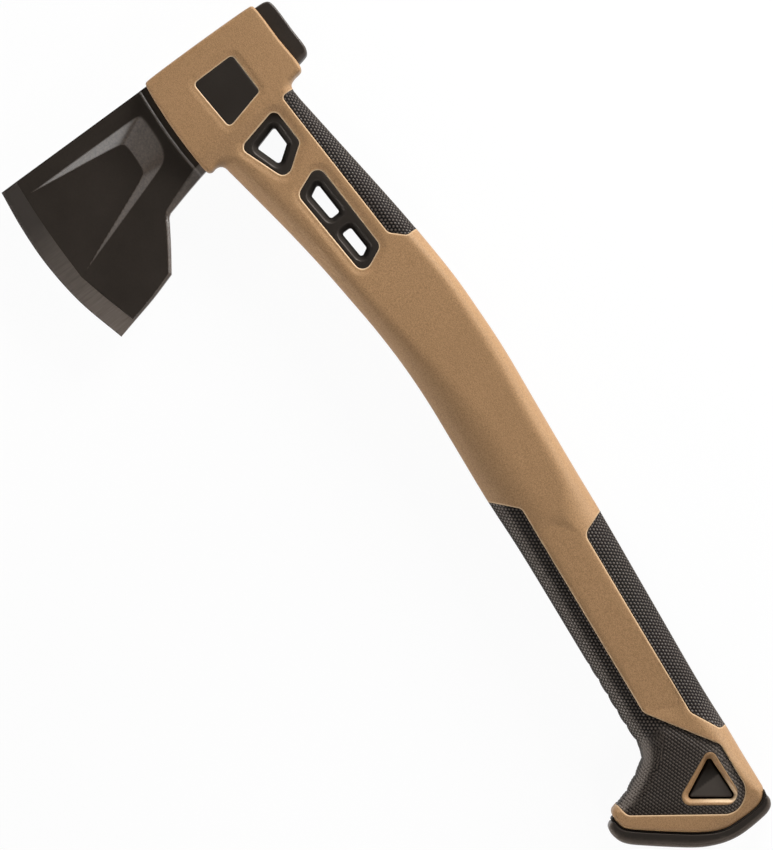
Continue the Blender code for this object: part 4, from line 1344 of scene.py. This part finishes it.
inner_side = beside(butt_end, FOOT_GAP)[2:-2]
inner_side = np.column_stack([inner_side, np.full(len(inner_side), FOOT_INNER_WIDTH)])
foot_edge = Outline(spread(np.vstack([inner_side, curve(FOOT_OUTER, FOOT_STEP, False)]), FOOT_STEP))
seeds = [ring[foot_edge.near(ring)[0] > INNER_GAP] for ring, _ in shoulder_rings(foot_edge, FOOT_TURNS)]
seeds.append(clear(grid(*FOOT_AREA, FOOT_GRID), [foot_edge], FOOT_GRID_GAP))
flat, faces = filled(foot_edge, np.vstack(seeds))
section = Section(foot_edge, flat, FOOT_HALF)
foot = made("rubber_foot", *mirrored(flat, section.height, faces))
# The outer edge is painted paler: scuffs, and a painted highlight where the rounded edge catches the light.
near_edge = np.clip(FOOT_PALE - section.distance / section.width, FOOT_LEAST_PALE, 1)
foot_scuffs_and_highlight = (section.width > FOOT_OUTER_LEAST) * near_edge
carry(foot, "scuffed", np.tile(foot_scuffs_and_highlight, 2))
print("rubber foot:", len(foot.data.polygons), "faces")
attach(foot, "root")
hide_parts("butt_cap")

# %% [markdown]
# Finishes as sums
#
# A finish mixes a few noises into a colour, a roughness and a relief. Wiring Math nodes by hand hides such
# sums, so a small class stands for a node's output and adds the Math node whenever outputs are added or
# multiplied.


# %% Wire
class Wire:
    """An output of a node. Arithmetic on it adds a Math node."""

    def __init__(self, finish, socket):
        self.finish, self.socket = finish, socket

    def sum(self, operation, first, second):
        """Adds the Math node."""
        return self.finish.node("Math", {"operation": operation}, {0: first, 1: second})

    def __add__(self, other):
        return self.sum("ADD", self, other)

    def __sub__(self, other):
        return self.sum("SUBTRACT", self, other)

    def __rsub__(self, other):
        return self.sum("SUBTRACT", other, self)

    def __mul__(self, other):
        return self.sum("MULTIPLY", self, other)

    __radd__ = __add__
    __rmul__ = __mul__


print("sums on wires: plus, minus and times, with numbers on either side")

# %% [markdown]
# A second class owns the node tree of a material or of the world. All its nodes come from one method, which
# sets a node's own settings first and then its sockets. The other methods are short words for what finishes
# share.


# %% Finish
class Finish:
    """The nodes of a material or a world, which all come from one method."""

    def __init__(self, owner):
        owner.use_nodes = True
        self.owner, self.tree = owner, owner.node_tree
        self.tree.nodes.clear()

    def node(self, kind, settings, sockets, output=0):
        """Adds a node: its settings first, then the values or links of its sockets. Gives an output."""
        node = self.tree.nodes.new("ShaderNode" + kind)
        for key, setting in settings.items():
            setattr(node, key, setting)
        for key, value in sockets.items():
            if isinstance(value, Wire):
                self.tree.links.new(value.socket, node.inputs[key])
            else:
                node.inputs[key].default_value = value
        return Wire(self, node.outputs[output]) if node.outputs else None

    def place(self):
        """Where a point lies on the piece."""
        return self.node("TexCoord", {}, {}, "Object")

    def carried(self, name):
        """A number that the points carry."""
        return self.node("Attribute", {"attribute_name": name}, {}, "Fac")

    def noise(self, place, size, detail=3.0, roughness=0.55):
        """Soft noise with blotches of about a size in millimetres."""
        sockets = {"Vector": place, "Scale": 0.5 / (size * MM), "Detail": detail, "Roughness": roughness}
        return self.node("TexNoise", {}, sockets)

    def blend(self, share, first, second):
        """One colour turning into another."""
        return self.node("Mix", {"data_type": "RGBA"}, {0: share, 6: first, 7: second}, 2)

    def shown(self):
        """1 for what the camera sees, also in reflections and through glass, and 0 for falling light."""
        names = ("Is Camera Ray", "Is Glossy Ray", "Is Transmission Ray")
        straight, glossy, through = [self.node("LightPath", {}, {}, name) for name in names]
        return straight + glossy + through

    def surface(self, sockets, relief, depth):
        """Ends the finish with its shader, whose normal follows a relief of a depth in millimetres."""
        bump = self.node("Bump", {}, {"Strength": 1.0, "Distance": depth * MM, "Height": relief})
        shader = self.node("BsdfPrincipled", {}, sockets | {"Normal": bump})
        self.node("OutputMaterial", {}, {"Surface": shader})
        print(self.owner.name + ":", len(self.tree.nodes), "nodes")


def material(name, *pieces):
    """A finish of its own for some pieces."""
    finish = Finish(bpy.data.materials.new(name))
    for piece in pieces:
        piece.data.materials.append(finish.owner)
    return finish


def colour(red, green, blue):
    """A colour as a socket takes it."""
    return (red, green, blue, 1.0)


words = [word for word in vars(Finish) if not word.startswith("_")]
print("what a finish can do:", ", ".join(words))

# %% [markdown]
# Tan nylon
#
# Glass-filled nylon comes out of the mould with a fine sandy grain and a slightly clouded colour, because
# the fibres lie near the surface in some places. Two fine noises give the grain, and a much wider one the
# clouds. The gloss and the faint sheen have the nylon's own warm tint, because such grain lights up in its
# own colour.

# %% Tan nylon
TAN = colour(0.352, 0.206, 0.101)
TAN_DARK = colour(0.222, 0.127, 0.06)
TAN_HIGHLIGHT = colour(0.8, 0.6, 0.39)
TAN_GLOSS = colour(1.0, 0.86, 0.68)

nylon = material("tan nylon", body, tan_ring)
place = nylon.place()
clouds = nylon.noise(place, size=14, detail=4)
sand = nylon.noise(place, size=0.45, detail=3, roughness=0.65)
dust = nylon.noise(place, size=0.2, detail=2, roughness=0.5)
# The points' number paints the window rims, the seams and the ring's wall pale, as a painted highlight.
worn = nylon.carried("worn")
grained = nylon.blend(clouds * 0.3 + sand * 1.5 + dust * 3.0 - 1.87, TAN_DARK, TAN)
nylon.surface(
    {
        "Base Color": nylon.blend(worn * (0.4 + sand), grained, TAN_HIGHLIGHT),
        "Roughness": 0.42 + 0.2 * sand,
        "Specular IOR Level": 0.32,
        "Specular Tint": TAN_GLOSS,
        "Sheen Weight": 0.05,
        "Sheen Roughness": 0.4,
        "Sheen Tint": TAN_HIGHLIGHT,
    },
    relief=sand * 0.6 + dust * 0.4,
    depth=0.17,
)

# %% [markdown]
# Scaly rubber
#
# The rubber is nearly black and dull. On the grips, hands have polished the crowns of the scales, while the
# grooves between them stay matt and are painted nearly black as shade. Along the front edge the rubber is
# painted pale, partly for rubbing by hands and partly as a painted highlight. The net already knows which of
# its points are crowns and which are painted pale, so the finish reads both from the points.

# %% Scaly rubber
RUBBER_GROOVE_SHADE = colour(0.002, 0.0015, 0.0012)
RUBBER_CROWN = colour(0.1, 0.077, 0.061)
RUBBER_RUBBED_LIT = colour(0.24, 0.202, 0.174)

scaly = material("scaly rubber", neck_rubber, front_rubber, rear_rubber)
place = scaly.place()
crown = scaly.carried("crown")
rubbed = scaly.carried("rubbed")
bloom = scaly.noise(place, size=9, detail=4)
specks = scaly.noise(place, size=0.2, detail=2, roughness=0.6)
# Grooves get a painted shade, nearly black, and crowns keep the rubber's own colour.
crowns_and_painted_shade = scaly.blend(crown * crown * (0.7 + 0.5 * bloom), RUBBER_GROOVE_SHADE, RUBBER_CROWN)
# The pale colour along the front edge is partly rubbing and partly a painted highlight.
scaly.surface(
    {
        "Base Color": scaly.blend(rubbed * crown * (0.3 + specks), crowns_and_painted_shade, RUBBER_RUBBED_LIT),
        "Roughness": 0.8 + 0.1 * specks - 0.25 * crown,
        "Specular IOR Level": 0.15,
        "Coat Weight": crown * crown * (0.28 + 0.4 * specks),
        "Coat Roughness": 0.33,
    },
    relief=specks,
    depth=0.04,
)

# %% [markdown]
# Plain rubber
#
# The liners, the collar inserts and the foot are the same rubber without scales, so they keep a smoother
# skin with a soft gloss. The foot is painted paler along its outer edge, partly scuffs and partly a painted
# highlight where its rounded edge catches the light.

# %% Plain rubber
RUBBER = colour(0.0138, 0.0111, 0.009)
RUBBER_DULL = colour(0.0215, 0.0176, 0.0147)
WARM = colour(1.0, 0.87, 0.77)

plain = material("plain rubber", upper_liner, lower_liner, left_insert, right_insert, foot)
place = plain.place()
bloom = plain.noise(place, size=9, detail=4)
specks = plain.noise(place, size=0.3, detail=2, roughness=0.6)
scuffed = plain.carried("scuffed")
dull = plain.blend(bloom * 0.7 + specks * 0.6 - 0.2, RUBBER, RUBBER_DULL)
plain.surface(
    {
        "Base Color": plain.blend(scuffed * (specks + bloom - 0.3), dull, RUBBER_CROWN),
        "Roughness": 0.34 + 0.12 * bloom + 0.1 * specks,
        "Specular IOR Level": 0.3,
        "Specular Tint": WARM,
    },
    relief=specks,
    depth=0.05,
)

# %% [markdown]
# Black nylon
#
# The plug is harder than the rubber and quite dull, with the faint orange peel of its mould. The half of
# the lug that catches behind the window is painted a dark grey, as a highlight of the light on its flat
# face.

# %% Black nylon
NYLON_BLACK = colour(0.025, 0.0212, 0.018)
NYLON_LIT_FACET = colour(0.068, 0.0575, 0.0495)

black = material("black nylon", plug)
place = black.place()
peel = black.noise(place, size=0.9, detail=2, roughness=0.4)
haze = black.noise(place, size=5, detail=3)
lug_scuffed = black.carried("scuffed") * (0.6 + 0.4 * haze)
black.surface(
    {
        "Base Color": black.blend(lug_scuffed, NYLON_BLACK, NYLON_LIT_FACET),
        "Roughness": 0.5 + 0.12 * haze,
        "Specular IOR Level": 0.03,
    },
    relief=peel,
    depth=0.03,
)

# %% [markdown]
# Coated steel
#
# The forged head carries a thin dark coating with a fine tooth. Its smooth faces are quite matt. On the
# panel's walls, the chamfers, the step and the poll's edges the coating is gritty and glossy, and painted
# paler: on the walls and chamfers for the forging's skin that was left there and for a painted highlight, on
# the step and the poll's edges as a painted highlight alone. The coat layer is weighed by the number that
# those points carry.

# %% Coated steel
STEEL = colour(0.0205, 0.0165, 0.0135)
STEEL_WORN = colour(0.038, 0.031, 0.0258)
FORGED_LIT = colour(0.098, 0.074, 0.058)

coated = material("coated steel", head)
place = coated.place()
tooth = coated.noise(place, size=0.45, detail=3, roughness=0.6)
stain = coated.noise(place, size=11, detail=5)
grit = coated.noise(place, size=0.5, detail=3, roughness=0.6)
as_forged = coated.carried("forged")
smooth = coated.blend(stain * 0.8 + tooth * 0.4 - 0.1, STEEL, STEEL_WORN)
coated.surface(
    {
        "Base Color": coated.blend(as_forged * (grit * 1.6 - 0.2), smooth, FORGED_LIT),
        "Roughness": 0.5 + 0.1 * stain + 0.1 * tooth,
        "Specular IOR Level": 0.0,
        "Coat Weight": 0.02 + 0.98 * as_forged,
        "Coat Roughness": 0.3,
    },
    relief=tooth * 0.5 + as_forged * grit,
    depth=0.025,
)

# %% [markdown]
# Ground bevel
#
# On the ground bevel the grinding lines still show, so that facet is lighter and streaked across the edge.
# The streaks are a noise stretched along y. Towards the toe the bevel is still as dark as the coating, and
# the bright metal comes out over a few centimetres along the edge.

# %% Ground bevel
DULL_TOE = colour(0.02, 0.0164, 0.014)
STREAK_DARK = colour(0.053, 0.0433, 0.0362)
STREAK_BRIGHT = colour(0.22, 0.182, 0.156)
STREAK_STRETCH = (1.0, 0.06, 0.06)
TOE_X = origin[0]
WEAR_LENGTH = 60 * MM

ground = material("ground bevel", head)
place = ground.place()
stretched = ground.node("Mapping", {"vector_type": "POINT"}, {"Vector": place, "Scale": STREAK_STRETCH})
streaks = ground.noise(stretched, size=0.5, detail=4, roughness=0.65)
stain = ground.noise(place, size=12, detail=4)
along = ground.node("SeparateXYZ", {}, {0: place}, "X")
bared = (along - TOE_X) * (1 / WEAR_LENGTH)
streaked = ground.blend(streaks, STREAK_DARK, STREAK_BRIGHT)
ground.surface(
    {
        "Base Color": ground.blend(bared + 0.3 * stain - 0.1, DULL_TOE, streaked),
        "Roughness": 0.34 + 0.2 * streaks,
        "Metallic": 0.3 * bared,
        "Specular Tint": WARM,
    },
    relief=streaks,
    depth=0.02,
)
middles = (np.array([polygon.center for polygon in head.data.polygons]) - origin) / MM
on_bevel = bevel_area.holds(middles[:, :2]) & (np.abs(middles[:, 2]) > EDGE_HALF + CLOSE)
head.data.polygons.foreach_set("material_index", on_bevel.astype(np.int32))
print("ground bevel:", int(on_bevel.sum()), "faces of the head")

# %% [markdown]
# Floor
#
# The tool lies on a plain white floor. Wherever the camera sees it, straight or in a reflection, the floor
# glows white by itself and keeps only a soft shadow, so that no extra light is needed to make it white.

# %% Floor
SPAN = 6.0
FLOOR_GLOW = 0.95
PAPER = colour(0.8, 0.8, 0.8)
WHITE = colour(1, 1, 1)
corners = [(-SPAN, -SPAN, 0), (SPAN, -SPAN, 0), (SPAN, SPAN, 0), (-SPAN, SPAN, 0)]

floor_mesh = bpy.data.meshes.new("floor")
floor_mesh.from_pydata(corners, [], [(0, 1, 2, 3)])
floor = bpy.data.objects.new("floor", floor_mesh)
bpy.context.scene.collection.objects.link(floor)
paper = material("white paper", floor)
matt = paper.node("BsdfDiffuse", {}, {"Color": PAPER})
glow = paper.node("Emission", {}, {"Color": WHITE, "Strength": 1.0})
sheet = paper.node("MixShader", {}, {0: paper.shown() * FLOOR_GLOW, 1: matt, 2: glow})
paper.node("OutputMaterial", {}, {"Surface": sheet})
print("floor:", 2 * SPAN, "m wide")

# %% [markdown]
# Sky
#
# The sky is dim straight above and brighter near the horizon, as in a tent of diffusers: flat sides stay
# deep in colour, and edges that lean outwards catch the light. Where the camera sees the sky near the
# horizon, straight or in a reflection, it turns white, so that floor and sky make one background in low
# views.

# %% Sky
ZENITH = 0.03
HORIZON = 0.42

sky = bpy.data.worlds.new("studio")
bpy.context.scene.world = sky
tent = Finish(sky)
way = tent.node("TexCoord", {}, {}, "Generated")
high = tent.node("SeparateXYZ", {}, {0: way}, "Z")
low = 1 - high * high
near_horizon = low * low * low * low
brightness = ZENITH + (HORIZON - ZENITH) * near_horizon
strength = brightness + tent.shown() * near_horizon * near_horizon * (1 - brightness)
light = tent.node("Background", {}, {"Color": WHITE, "Strength": strength})
tent.node("OutputWorld", {}, {"Surface": light})
print("sky from", ZENITH, "above to", HORIZON, "at the horizon")

# %% [markdown]
# Lamps
#
# Seven soft square lamps do what the sky can't: the key behind the tool draws its back edges, a kicker
# beyond the butt lights the collar's slopes, and narrow strips graze the front, the grip and the back. A
# row gives a lamp's name, the place along the handle that it aims at, its direction and elevation in
# degrees, its distance and size in millimetres, its brightness, and the width of its beam in degrees.

# %% Lamps
LAMPS = [
    ("key", 70, 110, 22, 700, 340, 25.0, 180),
    ("kicker", -10, -13, 39, 1400, 300, 14.0, 180),
    ("high_rim", 0, -78, 57, 700, 250, 1.5, 180),
    ("left_fill", 60, -158, 25, 1500, 500, 1.5, 180),
    ("front_strip", 30, -100, 12, 520, 200, 1.0, 40),
    ("grip_strip", 335, -88, 10, 600, 200, 1.15, 46),
    ("back_strip", 370, 85, 15, 700, 220, 5.2, 80),
]


def lamp(name, target, direction, elevation, away, size, brightness, beam):
    """A soft square lamp aimed at a place along the handle, with its light kept within a beam in degrees."""
    data = bpy.data.lights.new(name, "AREA")
    data.shape = "SQUARE"
    data.size = size * MM
    data.energy = brightness * math.pi * (size * MM) ** 2
    data.spread = math.radians(beam)
    piece = bpy.data.objects.new(name, data)
    turn, rise = math.radians(direction), math.radians(elevation)
    way = Vector((math.cos(turn) * math.cos(rise), math.sin(turn) * math.cos(rise), math.sin(rise)))
    piece.location = Vector(np.array([target, 0, 0]) * MM + origin) + way * away * MM
    piece.rotation_mode = "QUATERNION"
    piece.rotation_quaternion = way.to_track_quat("Z", "Y")
    piece.visible_camera = False
    bpy.context.scene.collection.objects.link(piece)


for settings in LAMPS:
    lamp(*settings)
print("lamps:", len(LAMPS))

# %% [markdown]
# Camera
#
# The picture looks straight down on the tool's left side through a long lens, with the handle turned a
# little past the diagonal. A pixel's size in millimetres and the place of the drawing's origin in the
# picture give the rest.

# %% Camera
PHOTO_WIDTH, PHOTO_HEIGHT = 773, 850
PIXEL = 0.46
ORIGIN_PIXEL = (228.5, 91.0)
HANDLE_ANGLE = math.radians(54.0)
LENS = 400.0
SENSOR = 36.0

right = np.array([math.cos(HANDLE_ANGLE), math.sin(HANDLE_ANGLE)])
up = np.array([-right[1], right[0]])
centre = PIXEL * (right * (PHOTO_WIDTH / 2 - ORIGIN_PIXEL[0]) - up * (PHOTO_HEIGHT / 2 - ORIGIN_PIXEL[1]))
distance = PIXEL * PHOTO_HEIGHT * LENS / SENSOR
lens = bpy.data.cameras.new("photo_camera")
lens.lens = LENS
lens.sensor_width = SENSOR
camera = bpy.data.objects.new("photo_camera", lens)
axes = np.column_stack([[*right, 0], [*up, 0], [0, 0, 1], origin + np.array([*centre, distance]) * MM])
camera.matrix_world = Matrix([*axes.tolist(), [0, 0, 0, 1]])
bpy.context.scene.collection.objects.link(camera)
bpy.context.scene.camera = camera
print("the camera looks down from", round(distance), "mm above the tool's middle plane")

# %% [markdown]
# View transform
#
# Every piece already sits on its body in place of its solids. The picture uses Blender's Standard view
# transform.

# %% View transform
bpy.context.scene.view_settings.view_transform = "Standard"
